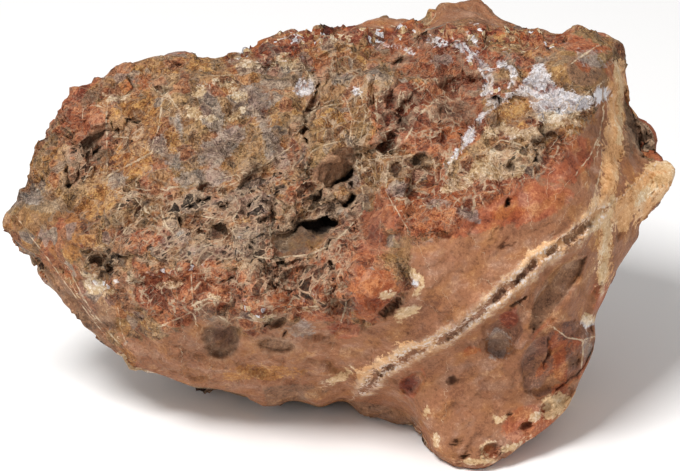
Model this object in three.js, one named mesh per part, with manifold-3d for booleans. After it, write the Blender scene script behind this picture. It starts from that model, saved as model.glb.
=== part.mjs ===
// An aquascaping rock: one natural piece of silicified breccia, about 160 mm across.
// Units are millimetres, +Z is up, and the stone rests on the ground at Z = 0.
//
// The stone is shaped as it is seen from the front, a little from above. In that view a point has
// a place to the right, a place up, and a depth towards the viewer. The outline closes the view,
// one relief gives the near side its depth and another the far side, and the result is then
// turned upright and cut level where it rests.

import * as THREE from "three";
import { mergeVertices } from "three/addons/utils/BufferGeometryUtils.js";
import { ImprovedNoise } from "three/addons/math/ImprovedNoise.js";
import Module from "manifold-3d";

const VIEW_ELEVATION = THREE.MathUtils.degToRad(25); // how far above level the view looks from
const VIEW_DISTANCE = 900; // from the eye to the middle of the stone
const GROUND = -42.0; // height of the ground under the middle of the view
const MESH_DETAIL = 19; // cuts of each icosahedron edge
const NEAR_CROWDING = 0.36; // how much closer together the vertices lie on the near side
const RIM_ROUNDNESS = 3.4; // 2 is a round rim, and larger is a squarer one
const THINNEST_HALF = 4.5; // the least that either side stands off the outline's depth
const GROUND_BLOCK = 400; // side of the block that cuts the base level
const OUTLINE_STEPS = 8; // samples between two corners of the outline
const DEPTH_EASING = 14; // samples to either side over which the outline's depth is evened
const EVENING_PASSES = { before: 9, after: 2 }; // rounds that spread the vertices, about the relief
const EVENING_SHARE = 0.5; // part of the way to the middle of its neighbours that a vertex goes
const SMOOTHING_SHARE = 0.03; // part of that way that it also goes in or out of the surface
const FIT_DIRECTIONS = 120; // directions in the view in which the body is stretched to its outline
const FIT_POWER = 6; // how strongly that stretch is kept to the rim
const STEEP = 0.4; // a face is steep, seen from the front, where its normal's depth is under this
const STEEP_EROSION = 0.5; // how much of the hollowing relief reaches the outline
const BREAK_FLATNESS = 0.85; // how far a flat break is dressed down to its plane

// The outline, clockwise from the left tip: right, up and depth of each corner.
const OUTLINE = [
  // left tip and the long upper left edge
  [-80.0, 3.4, 3], [-75.0, 9.6, 1], [-72.0, 17.8, 0], [-70.1, 22.3, -1], [-68.2, 25.4, -2],
  [-64.9, 31.5, -3], [-63.2, 33.6, -4], [-58.8, 36.2, -5], [-52.6, 39.8, -6], [-47.0, 41.4, -7],
  [-42.5, 43.1, -8], [-39.2, 43.3, -8], [-35.6, 42.4, -8], [-31.2, 42.0, -8], [-26.4, 42.8, -8],
  [-21.5, 43.5, -8], [-18.9, 45.2, -8], [-14.2, 48.0, -9], [-11.1, 48.3, -9], [-8.0, 46.8, -9],
  [-6.6, 46.1, -9], [-5.9, 48.0, -9], [-3.5, 48.9, -10], [-0.9, 48.0, -12], [1.2, 48.5, -18],
  // two rounded lumps that stand behind the crest
  [5.2, 50.3, -22], [9.7, 51.8, -25], [13.5, 51.0, -25], [17.2, 51.0, -25], [17.9, 50.1, -25],
  [19.8, 50.6, -25], [21.5, 52.5, -26], [24.5, 54.2, -27], [28.1, 55.1, -27], [32.8, 55.3, -26],
  [35.4, 53.5, -25], [38.5, 50.7, -22],
  // broken crest and the peak at the upper right
  [43.4, 49.4, -16], [45.1, 48.0, -14], [48.6, 49.0, -13], [49.3, 47.1, -10], [51.2, 47.6, -6],
  [53.8, 49.0, -4], [56.9, 49.9, -3], [59.5, 48.7, -3], [61.8, 46.6, -4], [65.4, 45.9, -6],
  [66.6, 44.2, -8], [67.5, 39.3, -9], [67.5, 33.6, -10], [68.9, 28.9, -12],
  // spongy knob, then the pale beak
  [71.7, 27.5, -13], [74.1, 25.4, -14], [75.3, 23.2, -14], [73.6, 20.9, -12], [73.2, 18.1, -4],
  [78.4, 17.8, 4], [79.8, 15.2, 5], [78.4, 11.7, 5], [75.3, 7.0, 5], [70.6, 2.9, 4],
  // right side, down to the foot lobe
  [70.3, -0.1, 3], [68.4, -3.7, 3], [66.1, -6.7, 3], [64.0, -10.7, 3], [62.3, -15.5, 3],
  [59.9, -19.0, 4], [60.4, -22.5, 5], [60.2, -26.3, 6], [57.8, -31.7, 8], [55.9, -35.5, 9],
  [54.3, -39.1, 10], [52.6, -42.1, 11], [50.7, -44.0, 12], [48.4, -45.2, 13], [47.9, -46.4, 14],
  [43.4, -50.1, 16], [38.5, -53.2, 17], [33.7, -54.9, 18], [28.6, -54.9, 18], [25.5, -53.7, 17],
  [22.4, -51.8, 14], [20.5, -47.8, 6], [19.6, -45.9, 0],
  // shadowed recess between the lobe and the belly
  [15.3, -44.5, -6], [11.8, -44.0, -8], [9.2, -42.6, -9], [5.7, -42.1, -9], [4.0, -40.9, -9],
  [2.6, -39.5, -8], [0.0, -38.8, -8],
  // belly
  [-1.9, -39.5, -9], [-4.7, -40.9, -10], [-7.1, -39.8, -9], [-11.1, -39.1, -8],
  [-14.9, -40.2, -9], [-18.4, -40.5, -9], [-21.5, -38.4, -7], [-25.0, -37.2, -6],
  [-29.0, -36.2, -5], [-34.2, -35.8, -4], [-40.8, -33.4, -3], [-47.0, -31.5, -2],
  [-49.6, -29.9, -1], [-51.7, -27.7, 0], [-54.8, -26.8, 0], [-56.2, -24.2, 0], [-59.7, -20.9, 1],
  [-63.2, -18.1, 1], [-65.8, -15.0, 2], [-68.4, -11.2, 2], [-72.0, -5.8, 3], [-77.6, -0.6, 3],
];

// Broken faces of the near side: the depth at one point, and how it changes to the right and up.
const NEAR_FACES = [
  { name: "spongy upper left face", at: [-33, 20], depth: 20, right: 0.22, up: -0.4 },
  { name: "smooth lower left band", at: [-33, -18.8], depth: 31, right: 0.1, up: 1.05 },
  { name: "underside of the left wing", at: [-62, -14], depth: 12, right: 0.9, up: 0.9 },
  { name: "smooth slab on the right", at: [26, -3.4], depth: 40, right: -0.08, up: -0.12 },
  { name: "rough shoulder above the slab", at: [33, 32], depth: 27, right: -0.05, up: -0.85 },
  { name: "steep right flank", at: [61, 20], depth: 27, right: -1.9, up: -0.2 },
  { name: "lower right flank", at: [56, -25], depth: 29, right: -1.5, up: 0.5 },
  { name: "face of the foot lobe", at: [36, -45], depth: 35, right: -0.1, up: 0.45 },
  { name: "crest", at: [0, 40], depth: 12, right: 0.1, up: -1.1 },
];
const NEAR_EDGE_ROUNDING = 2.2; // how softly those faces meet
const FAR_FACES = [
  { name: "back", at: [5, 5], depth: -50, right: 0.12, up: 0.1 },
  { name: "back of the left wing", at: [-45, 5], depth: -32, right: -0.62, up: 0.1 },
  { name: "back right", at: [60, 0], depth: -30, right: 0.95, up: 0.15 },
  { name: "upper back", at: [0, 40], depth: -50, right: 0.1, up: 0.45 },
  { name: "lower back", at: [0, -35], depth: -38, right: 0.1, up: -0.9 },
  { name: "upper back of the left wing", at: [-40, 28], depth: -22, right: -0.8, up: 0.9 },
];
const FAR_EDGE_ROUNDING = 3.5;

// Hollows of the near side: middle, half length and half width, turn in degrees, depth.
const HOLLOWS = [
  { name: "smooth eye", at: [2.8, 16], half: [7.6, 4.8], turn: 38, depth: 6.5 },
  { name: "dark slots under the eye", at: [-4.0, 5.5], half: [11.0, 5.2], turn: 28, depth: 5.5 },
  { name: "left pit", at: [-62.5, 12.5], half: [4.5, 3.2], turn: 62, depth: 3.6 },
  { name: "left crack", at: [-57.0, 20.5], half: [7.5, 2.8], turn: 42, depth: 2.8 },
  { name: "wing pit", at: [-56.2, -7.0], half: [4.2, 3.2], turn: 20, depth: 3.2 },
  { name: "orange window", at: [-48.5, 22.0], half: [9.0, 6.0], turn: 80, depth: 2.0 },
  { name: "dark cup", at: [-28.8, -24.0], half: [4.6, 5.2], turn: 0, depth: 2.6 },
  { name: "long hollow under the vein", at: [48.0, -13.2], half: [10.5, 4.4], turn: 57, depth: 3.6 },
  { name: "round hollow under the vein", at: [37.8, -22.8], half: [4.4, 5.0], turn: 10, depth: 4.8 },
  { name: "brown panel", at: [48.6, -29.0], half: [7.5, 6.0], turn: 60, depth: 2.2 },
  { name: "dark red pocket", at: [27.8, 36.0], half: [7.5, 4.4], turn: 18, depth: 5 },
  { name: "grey pocket", at: [26.0, 29.0], half: [4.6, 2.8], turn: 5, depth: 2.6 },
  { name: "red pocket", at: [14.2, 20.4], half: [4.8, 3.8], turn: 10, depth: 3 },
  { name: "ochre pocket", at: [41.0, 29.5], half: [6.0, 4.0], turn: 25, depth: 2.4 },
  { name: "shadowed recess", at: [10.0, -41.0], half: [13.0, 5.6], turn: -16, depth: 6 },
  { name: "crease left of the ridge", at: [-8.5, 31.0], half: [14.0, 4.2], turn: 84, depth: 3 },
  { name: "notch above the beak", at: [71.0, 21.0], half: [5.5, 3.2], turn: 80, depth: 4 },
];

// Raised lumps of the near side, given the same way.
const LUMPS = [
  { name: "red knob", at: [8.3, -12.5], half: [8.0, 9.0], turn: 20, depth: 3.2 },
  { name: "foot lobe", at: [36.0, -42.0], half: [16, 13], turn: 0, depth: 3.5 },
  { name: "corner peak", at: [57.0, 37.0], half: [8.5, 9.0], turn: 20, depth: 5.0 },
  { name: "arch over the eye", at: [4.5, 24.5], half: [8.0, 3.0], turn: 30, depth: 2.6 },
  { name: "pillar beside the eye", at: [10.8, 12.0], half: [8.0, 3.2], turn: 95, depth: 2.4 },
  { name: "quartz ridge", at: [52.0, 30.5], half: [10.0, 2.8], turn: 8, depth: 2.2 },
  { name: "quartz shoulder", at: [35.5, 35.5], half: [6.5, 2.2], turn: -38, depth: 2.0 },
  { name: "cluster under the shoulder", at: [19.0, 5.0], half: [7.0, 7.0], turn: 0, depth: 2.0 },
  { name: "left shelf", at: [-60.0, 25.0], half: [6.0, 4.0], turn: 48, depth: 2.0 },
  { name: "bump under the crest", at: [-14.0, 44.0], half: [4.5, 3.5], turn: 0, depth: 2.5 },
  { name: "second bump under the crest", at: [-3.5, 45.0], half: [3.0, 3.0], turn: 0, depth: 2.5 },
  { name: "knuckle of the beak", at: [72.0, 12.0], half: [7.0, 4.0], turn: 25, depth: 3.5 },
];

// The druzy vein across the slab, which stands up as a low ridge.
const VEIN = { from: [60.5, 3.5], to: [-1.0, -37.5], halfWidth: 3.2, height: 1.5 };
// The crest that hides the far lumps: right and up along it, and how far the stone drops behind.
const CREST = [[-2, 49], [7.6, 47.8], [20, 48.8], [30.7, 51.2], [37.8, 48.3], [46, 49]];
const CREST_DROP = 11;

// Flat breaks of the back and the flanks: the way each one faces in the view, and its distance.
const BREAKS = [
  { name: "big back face", facing: [0.1, 0.25, -1], distance: 50 },
  { name: "lower back face", facing: [0.3, -0.5, -0.9], distance: 45 },
  { name: "upper back face", facing: [-0.2, 0.9, -0.75], distance: 60 },
  { name: "back right face", facing: [0.85, 0.1, -0.75], distance: 60 },
  { name: "upper right face", facing: [0.7, 0.75, -0.7], distance: 68 },
  { name: "back left face", facing: [-0.75, 0.25, -0.8], distance: 52 },
  { name: "underside of the back left", facing: [-0.6, -0.65, -0.7], distance: 48 },
  { name: "left wing, far side", facing: [-0.9, 0.5, -0.55], distance: 66 },
];

// Hollows and lumps of the far side: middle in the view's own three directions, reach, depth.
const FAR_PITS = [
  { name: "wide scar on the back", at: [18, 12, -48], reach: 15, depth: 3.2 },
  { name: "pit on the back", at: [-14, 18, -42], reach: 8, depth: 3.4 },
  { name: "pit low on the back", at: [38, -16, -42], reach: 9, depth: 3.0 },
  { name: "notch on the back of the wing", at: [-44, 8, -26], reach: 9, depth: 2.8 },
  { name: "lump on the back", at: [44, 26, -38], reach: 12, depth: -1.8 },
  { name: "lump behind the wing", at: [-28, -8, -36], reach: 11, depth: -1.8 },
];

// Lumpiness of the break: wavelength and height of each octave, the last two with sharp crests.
const LUMPINESS = [
  { wavelength: 26, height: 2.4, sharp: false },
  { wavelength: 12, height: 1.6, sharp: false },
  { wavelength: 16, height: 3.4, sharp: true },
  { wavelength: 9, height: 2.8, sharp: true },
];
// Dissolved pits: the grid that they are scattered on, and how wide and deep they are.
const PITS = { spacing: 10.5, radius: 4.2, depth: 2.6 };
// The smooth slab lies right of an edge and under a rising one, and the smooth band runs low on the
// left. Each pair is where the smoothness starts and where it is full.
const SMOOTH_SLAB = { edge: [8, 16], rise: 0.35, top: [-3, -10] };
const SMOOTH_BAND = { top: [-15, -22], left: [-70, -58] };
const SMOOTH_SHARE = 0.22; // how much of the relief the smooth places keep

const noise = new ImprovedNoise();

function smoothStep(low, high, x) {
  const t = THREE.MathUtils.clamp((x - low) / (high - low), 0, 1);
  return t * t * (3 - 2 * t);
}

// A minimum whose corners are rounded over about the given length.
function softMinimum(values, rounding) {
  const least = Math.min(...values);
  const sum = values.reduce((total, v) => total + Math.exp((least - v) / rounding), 0);
  return least - rounding * Math.log(sum);
}

function depthOfFace(face, right, up) {
  return face.depth + face.right * (right - face.at[0]) + face.up * (up - face.at[1]);
}

// 1 in the middle of an ellipse and 0 on its edge, with a flat floor and steep sides.
function inEllipse(shape, right, up) {
  const turn = THREE.MathUtils.degToRad(shape.turn);
  const dx = right - shape.at[0];
  const dy = up - shape.at[1];
  const along = (dx * Math.cos(turn) + dy * Math.sin(turn)) / shape.half[0];
  const across = (dy * Math.cos(turn) - dx * Math.sin(turn)) / shape.half[1];
  return 1 - smoothStep(0.3, 1.25, Math.hypot(along, across));
}

function heightOfCrest(right) {
  if (right <= CREST[0][0] || right >= CREST[CREST.length - 1][0]) return Infinity;
  const i = CREST.findIndex((point) => point[0] > right);
  const [a, b] = [CREST[i - 1], CREST[i]];
  return a[1] + ((b[1] - a[1]) * (right - a[0])) / (b[0] - a[0]);
}

function veinRelief(right, up) {
  const length = Math.hypot(VEIN.to[0] - VEIN.from[0], VEIN.to[1] - VEIN.from[1]);
  const along = [(VEIN.to[0] - VEIN.from[0]) / length, (VEIN.to[1] - VEIN.from[1]) / length];
  const d = [right - VEIN.from[0], up - VEIN.from[1]];
  const t = (d[0] * along[0] + d[1] * along[1]) / length;
  if (t < 0 || t > 1) return 0;
  const across = (d[1] * along[0] - d[0] * along[1]) / VEIN.halfWidth;
  return VEIN.height * Math.exp(-(across ** 2)) * smoothStep(0, 0.08, t) * smoothStep(1, 0.9, t);
}

// 1 where the stone broke smooth, on the slab, the lower band and the foot lobe, and 0 elsewhere.
function smoothness(right, up) {
  const underTop = smoothStep(...SMOOTH_SLAB.top, up - SMOOTH_SLAB.rise * right);
  const slab = smoothStep(...SMOOTH_SLAB.edge, right) * underTop;
  const band = smoothStep(...SMOOTH_BAND.top, up) * smoothStep(...SMOOTH_BAND.left, right);
  return Math.max(slab, band);
}

function lumpiness(x, y, z) {
  return LUMPINESS.reduce((total, octave) => {
    const k = 1 / octave.wavelength;
    const value = noise.noise(x * k + 7.3, y * k + 2.9, z * k + 5.1);
    return total + octave.height * (octave.sharp ? 0.25 - Math.abs(value) : value);
  }, 0);
}

// A number from 0 to 1 that belongs to one cell of a grid.
function scatter(i, j, k, seed) {
  const wave = Math.sin(i * 127.1 + j * 311.7 + k * 74.7 + seed * 53.9) * 43758.5453;
  return wave - Math.floor(wave);
}

// How deep the dissolved pits are at a point: one pit lies somewhere in each cell of the grid.
function pitting(point) {
  const cell = point.clone().divideScalar(PITS.spacing).floor();
  let deepest = 0;
  for (let i = cell.x - 1; i <= cell.x + 1; i++) {
    for (let j = cell.y - 1; j <= cell.y + 1; j++) {
      for (let k = cell.z - 1; k <= cell.z + 1; k++) {
        const jitter = [1, 2, 3].map((seed) => scatter(i, j, k, seed));
        const middle = new THREE.Vector3(i, j, k).add(new THREE.Vector3(...jitter));
        const away = middle.multiplyScalar(PITS.spacing).distanceTo(point) / PITS.radius;
        deepest = Math.max(deepest, 1 - smoothStep(0.35, 1, away));
      }
    }
  }
  return PITS.depth * deepest;
}

function nearDepth(right, up) {
  const faces = NEAR_FACES.map((face) => depthOfFace(face, right, up));
  let depth = softMinimum(faces, NEAR_EDGE_ROUNDING);
  for (const hollow of HOLLOWS) depth -= hollow.depth * inEllipse(hollow, right, up);
  for (const lump of LUMPS) depth += lump.depth * inEllipse(lump, right, up);
  depth += veinRelief(right, up);
  return depth - CREST_DROP * smoothStep(-0.5, 0.9, up - heightOfCrest(right));
}

function farDepth(right, up) {
  const faces = FAR_FACES.map((face) => -depthOfFace(face, right, up));
  return -softMinimum(faces, FAR_EDGE_ROUNDING);
}

// The outline as a function of the angle round the middle of the view: radius and depth there.
function makeOutline() {
  const corners = OUTLINE.map(([right, up, depth]) => new THREE.Vector3(right, up, depth));
  const curve = new THREE.CatmullRomCurve3(corners, true, "centripetal");
  const points = curve.getPoints(OUTLINE.length * OUTLINE_STEPS).slice(1);
  const samples = points.map((p, i) => {
    let depth = 0;
    for (let k = -DEPTH_EASING; k <= DEPTH_EASING; k++) {
      depth += points[(i + k + points.length) % points.length].z / (2 * DEPTH_EASING + 1);
    }
    return { angle: Math.atan2(p.y, p.x), radius: Math.hypot(p.x, p.y), depth };
  });
  samples.sort((a, b) => a.angle - b.angle);
  return (angle) => {
    let low = 0;
    let high = samples.length - 1;
    while (high - low > 1) {
      const middle = (low + high) >> 1;
      if (samples[middle].angle > angle) high = middle;
      else low = middle;
    }
    const [a, b] = [samples[low], samples[high]];
    const t = THREE.MathUtils.clamp((angle - a.angle) / (b.angle - a.angle || 1), 0, 1);
    return {
      radius: THREE.MathUtils.lerp(a.radius, b.radius, t),
      depth: THREE.MathUtils.lerp(a.depth, b.depth, t),
    };
  };
}

// Cuts the far side's hollows into a point and raises its lumps.
function shapeFarSide(point, fullness) {
  let inwards = 0;
  for (const pit of FAR_PITS) {
    const away = point.distanceTo(new THREE.Vector3(...pit.at)) / pit.reach;
    inwards += pit.depth * (1 - smoothStep(0.3, 1.1, away));
  }
  point.addScaledVector(point.clone().normalize(), -inwards * Math.sqrt(fullness));
}

// Moves a point that lies outside a flat break straight back onto it.
function dressBreaks(point) {
  for (const face of BREAKS) {
    const normal = new THREE.Vector3(...face.facing).normalize();
    const proud = point.dot(normal) - face.distance;
    if (proud > 0) point.addScaledVector(normal, -BREAK_FLATNESS * proud);
  }
}

// A unit direction becomes a point of the stone in the view's own right, up and depth.
function pointOfStone(direction, outlineAt) {
  const plain = Math.acos(THREE.MathUtils.clamp(direction.z, -1, 1));
  const polar = plain - NEAR_CROWDING * Math.sin(plain);
  const angle = Math.atan2(direction.y, direction.x);
  const rim = outlineAt(angle);
  const sine = Math.sin(polar);
  const cosine = Math.cos(polar);
  const norm = (sine ** RIM_ROUNDNESS + Math.abs(cosine) ** RIM_ROUNDNESS) ** (1 / RIM_ROUNDNESS);
  const share = sine / norm; // 0 in the middle of the view, 1 on the outline
  const fullness = Math.abs(cosine) / norm; // 1 in the middle of the view, 0 on the outline
  const right = share * rim.radius * Math.cos(angle);
  const up = share * rim.radius * Math.sin(angle);
  const full =
    cosine > 0
      ? Math.max(nearDepth(right, up), rim.depth + THINNEST_HALF)
      : Math.min(farDepth(right, up), rim.depth - THINNEST_HALF);
  const point = new THREE.Vector3(right, up, rim.depth + (full - rim.depth) * fullness);
  if (cosine < 0) {
    dressBreaks(point);
    shapeFarSide(point, fullness);
  }
  return point;
}

// The relief of the break at a point that faces along the normal. It adds nothing to the outline.
function roughened(point, normal) {
  const smooth = normal.z > 0 ? smoothness(point.x, point.y) : 0;
  const relief = lumpiness(point.x, point.y, point.z) - pitting(point);
  const level = smoothStep(0, STEEP, Math.abs(normal.z));
  const kept = relief > 0 ? level : THREE.MathUtils.lerp(STEEP_EROSION, 1, level);
  return point.addScaledVector(normal, THREE.MathUtils.lerp(1, SMOOTH_SHARE, smooth) * kept * relief);
}

// What the eye sees at (right, up) lies further out the further it is behind the middle.
function undoPerspective(point) {
  const spread = 1 - point.z / VIEW_DISTANCE;
  point.x *= spread;
  point.y *= spread;
  return point;
}

// Right, up and depth in the view become X, Y and Z with the stone upright.
function standUpright(point) {
  const sine = Math.sin(VIEW_ELEVATION);
  const cosine = Math.cos(VIEW_ELEVATION);
  const back = point.y * sine - point.z * cosine;
  const height = point.y * cosine + point.z * sine;
  return point.set(point.x, back, height - GROUND);
}

// Moves every vertex to where the given function of its place and its normal says.
function moveVertices(geometry, target) {
  geometry.computeVertexNormals();
  const position = geometry.getAttribute("position");
  const normals = geometry.getAttribute("normal");
  const points = Array.from({ length: position.count }, (_, i) => {
    const here = new THREE.Vector3().fromBufferAttribute(position, i);
    return target(here, new THREE.Vector3().fromBufferAttribute(normals, i), i);
  });
  points.forEach((point, i) => position.setXYZ(i, point.x, point.y, point.z));
  geometry.deleteAttribute("normal");
}

// Each vertex's neighbours along the edges of a triangle mesh.
function neighboursOf(geometry) {
  const neighbours = Array.from({ length: geometry.getAttribute("position").count }, () => new Set());
  const index = geometry.index.array;
  for (let i = 0; i < index.length; i += 3) {
    for (let k = 0; k < 3; k++) {
      const [a, b] = [index[i + k], index[i + ((k + 1) % 3)]];
      neighbours[a].add(b);
      neighbours[b].add(a);
    }
  }
  return neighbours;
}

// Spreads the vertices evenly where the steep parts of the relief have stretched the mesh.
function evenOut(geometry, passes) {
  const position = geometry.getAttribute("position");
  const neighbours = neighboursOf(geometry);
  for (let pass = 0; pass < passes; pass++) {
    moveVertices(geometry, (here, normal, i) => {
      const move = new THREE.Vector3();
      for (const k of neighbours[i]) move.add(new THREE.Vector3().fromBufferAttribute(position, k));
      move.divideScalar(neighbours[i].size).sub(here);
      const outwards = move.dot(normal);
      move.addScaledVector(normal, -outwards).multiplyScalar(EVENING_SHARE);
      return here.add(move).addScaledVector(normal, outwards * SMOOTHING_SHARE);
    });
  }
}

// Stretches the body in the view so that it reaches its outline again in every direction.
function fitOutline(geometry, outlineAt) {
  const position = geometry.getAttribute("position");
  const reach = new Array(FIT_DIRECTIONS).fill(0);
  const shareAt = (i) => {
    const angle = Math.atan2(position.getY(i), position.getX(i));
    const share = Math.hypot(position.getX(i), position.getY(i)) / outlineAt(angle).radius;
    return [((angle / (2 * Math.PI) + 1) * FIT_DIRECTIONS) % FIT_DIRECTIONS, share];
  };
  for (let i = 0; i < position.count; i++) {
    const [direction, share] = shareAt(i);
    const slot = Math.floor(direction);
    reach[slot] = Math.max(reach[slot], share);
  }
  moveVertices(geometry, (point, normal, i) => {
    const [direction, share] = shareAt(i);
    const slot = Math.floor(direction - 0.5 + FIT_DIRECTIONS);
    const before = reach[slot % FIT_DIRECTIONS];
    const after = reach[(slot + 1) % FIT_DIRECTIONS];
    const here = THREE.MathUtils.lerp(before, after, direction - 0.5 + FIT_DIRECTIONS - slot);
    const stretch = THREE.MathUtils.lerp(1, 1 / here, Math.min(share / here, 1) ** FIT_POWER);
    return point.set(point.x * stretch, point.y * stretch, point.z);
  });
}

function makeBody() {
  const sphere = new THREE.IcosahedronGeometry(1, MESH_DETAIL);
  sphere.deleteAttribute("normal");
  sphere.deleteAttribute("uv");
  const body = mergeVertices(sphere);
  const outlineAt = makeOutline();
  moveVertices(body, (direction) => pointOfStone(direction, outlineAt));
  evenOut(body, EVENING_PASSES.before);
  moveVertices(body, roughened);
  evenOut(body, EVENING_PASSES.after);
  fitOutline(body, outlineAt);
  moveVertices(body, (point) => standUpright(undoPerspective(point)));
  return body;
}

function toSolid(wasm, geometry) {
  const vertProperties = geometry.getAttribute("position").array;
  const triVerts = new Uint32Array(geometry.index.array);
  return new wasm.Manifold(new wasm.Mesh({ numProp: 3, vertProperties, triVerts }));
}

function toGeometry(solid) {
  const mesh = solid.getMesh();
  const geometry = new THREE.BufferGeometry();
  geometry.setAttribute("position", new THREE.BufferAttribute(mesh.vertProperties, 3));
  geometry.setIndex(new THREE.BufferAttribute(mesh.triVerts, 1));
  return geometry;
}

// Everything under the ground is cut away, which leaves the level patches that the stone rests on.
function cutLevel(wasm, body) {
  const below = new THREE.BoxGeometry(GROUND_BLOCK, GROUND_BLOCK, GROUND_BLOCK);
  below.translate(0, 0, -GROUND_BLOCK / 2);
  below.deleteAttribute("normal");
  below.deleteAttribute("uv");
  const ground = toSolid(wasm, mergeVertices(below));
  return toGeometry(toSolid(wasm, body).subtract(ground));
}

// Sets the origin under the middle of the stone's box.
function centreOverOrigin(geometry) {
  geometry.computeBoundingBox();
  const middle = geometry.boundingBox.getCenter(new THREE.Vector3());
  geometry.translate(-middle.x, -middle.y, -geometry.boundingBox.min.z);
}

const wasm = await Module();
wasm.setup();

const stone = cutLevel(wasm, makeBody());
centreOverOrigin(stone);
stone.computeVertexNormals();

const jasper = new THREE.MeshStandardMaterial({ color: 0x9a6a4c, roughness: 0.8, metalness: 0 });
const rock = new THREE.Mesh(stone, jasper);
rock.name = "rock";

const group = new THREE.Group();
group.add(rock);

export default group;
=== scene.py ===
# %% [markdown]
# # An aquascaping rock in Blender
# The real object is one piece of silicified breccia: broken iron-rich stone that quartz has glued
# together again. Part of it broke smooth, part of it weathered into a sponge of thin walls, and a
# vein lined with small crystals crosses it. The solid from the workshop gives its form, and here
# it gets its skin: finer relief as real geometry, and one material whose minerals lie where they
# lie on the stone.

# %% Load the solid
import itertools
import math

import bmesh
import bpy
import numpy as np
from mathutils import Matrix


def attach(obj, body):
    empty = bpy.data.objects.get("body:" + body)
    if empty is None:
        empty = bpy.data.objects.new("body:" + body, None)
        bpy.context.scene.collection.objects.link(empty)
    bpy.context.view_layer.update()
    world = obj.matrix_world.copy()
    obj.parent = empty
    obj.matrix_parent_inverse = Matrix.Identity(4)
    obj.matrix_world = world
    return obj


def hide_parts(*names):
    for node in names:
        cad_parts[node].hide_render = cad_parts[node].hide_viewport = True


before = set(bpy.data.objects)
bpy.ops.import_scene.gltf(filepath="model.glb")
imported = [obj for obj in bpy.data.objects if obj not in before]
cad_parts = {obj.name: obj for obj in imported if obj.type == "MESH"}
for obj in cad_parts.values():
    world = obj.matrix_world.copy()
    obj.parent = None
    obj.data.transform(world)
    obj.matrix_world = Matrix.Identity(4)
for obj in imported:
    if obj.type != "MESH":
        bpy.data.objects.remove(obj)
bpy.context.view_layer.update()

# %% [markdown]
# ## Where the photograph sees each point
# Forms and colours are easiest to place where a photograph shows them. So every point of the stone
# gets a column and a row in the picture, 680 by 471 pixels, and a depth towards the eye. The same
# numbers place the camera, so the two can't drift apart.

# %% The view
IMAGE_WIDTH = 680
IMAGE_HEIGHT = 471
PIXEL = 0.236  # mm of stone behind one pixel, at the middle of the stone
VIEW_DISTANCE = 900.0  # mm from the eye to the middle of the stone
VIEW_ELEVATION = math.radians(25)
VIEW_MIDDLE = np.array([0.467, -5.512, 42.0])  # mm, the point that the middle of the picture shows
TOWARDS_EYE = np.array([0.0, -math.cos(VIEW_ELEVATION), math.sin(VIEW_ELEVATION)])
UPWARDS = np.array([0.0, math.sin(VIEW_ELEVATION), math.cos(VIEW_ELEVATION)])


def seen(points):
    """Column and row in the photograph of points in mm."""
    away = points - VIEW_MIDDLE
    spread = PIXEL * (1 - away @ TOWARDS_EYE / VIEW_DISTANCE)
    column = IMAGE_WIDTH / 2 + away[:, 0] / spread
    row = IMAGE_HEIGHT / 2 - away @ UPWARDS / spread
    return np.stack([column, row], axis=1)


# %% [markdown]
# ## The blank
# The skin starts as a copy of the solid. Its triangles are about 3 mm wide, which is too coarse for
# pores, so Catmull-Clark subdivision cuts each of them into twelve small quads. A voxel remesh would
# be as fine, but it puts as many faces on the hidden side as on the side that is looked at.

# %% Copy and refine
SUBDIVISIONS = 2


def make_blank(source):
    """A copy of the solid with shared corners, refined and smooth."""
    mesh = source.data.copy()
    work = bmesh.new()
    work.from_mesh(mesh)
    bmesh.ops.remove_doubles(work, verts=work.verts, dist=1e-6)
    work.to_mesh(mesh)
    work.free()
    coarse = bpy.data.objects.new("coarse", mesh)
    bpy.context.scene.collection.objects.link(coarse)
    coarse.modifiers.new("refine", "SUBSURF").levels = SUBDIVISIONS
    graph = bpy.context.evaluated_depsgraph_get()
    fine = bpy.data.meshes.new_from_object(coarse.evaluated_get(graph))
    bpy.data.objects.remove(coarse)
    fine.materials.clear()
    blank = bpy.data.objects.new("stone_skin", fine)
    bpy.context.scene.collection.objects.link(blank)
    return blank


stone = make_blank(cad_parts["rock"])
COUNT = len(stone.data.vertices)
print("skin:", COUNT, "vertices,", len(stone.data.polygons), "faces")


# %% Read and move its vertices
def read(name, mesh=stone.data):
    """The vertices' co or normal as an array."""
    values = np.empty(len(mesh.vertices) * 3)
    mesh.vertices.foreach_get(name, values)
    return values.reshape(-1, 3)


def place(points):
    """Moves the vertices to points in mm, none of them under the ground."""
    points[:, 2] = np.maximum(points[:, 2], 0.0)
    stone.data.vertices.foreach_set("co", (points / 1000).ravel())
    stone.data.update()


rest = read("co") * 1000
facing = read("normal") @ TOWARDS_EYE
base_level = rest[:, 2] < 0.02
print("height", round(rest[:, 2].max(), 1), "mm,", int(base_level.sum()), "vertices on the ground")

# %% [markdown]
# ## Noise that never changes
# A stone is irregular at every size. Three small functions make that irregularity from the place
# of a point alone, so each run gives the same stone: a random number for each cell of a grid, a
# smooth noise between those numbers, and a pattern of cells round scattered seeds, like foam.


# %% Scattered numbers
def scatter(cells, seed):
    """A number from 0 to 1 for each cell of whole numbers."""
    with np.errstate(over="ignore"):
        whole = cells.astype(np.int64).astype(np.uint64)
        mixed = whole @ np.array([73856093, 19349663, 83492791], np.uint64)
        mixed = (mixed + np.uint64(seed * 40503)) & np.uint64(0xFFFFFFFF)
        for shift, factor in ((13, 1274126177), (16, 2246822519)):
            mixed = ((mixed ^ (mixed >> np.uint64(shift))) * np.uint64(factor)) & np.uint64(0xFFFFFFFF)
    return ((mixed ^ (mixed >> np.uint64(15))) & np.uint64(0xFFFFFF)) / float(0xFFFFFF)


def smooth_step(low, high, value):
    part = np.clip((value - low) / (high - low), 0, 1)
    return part * part * (3 - 2 * part)


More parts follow.
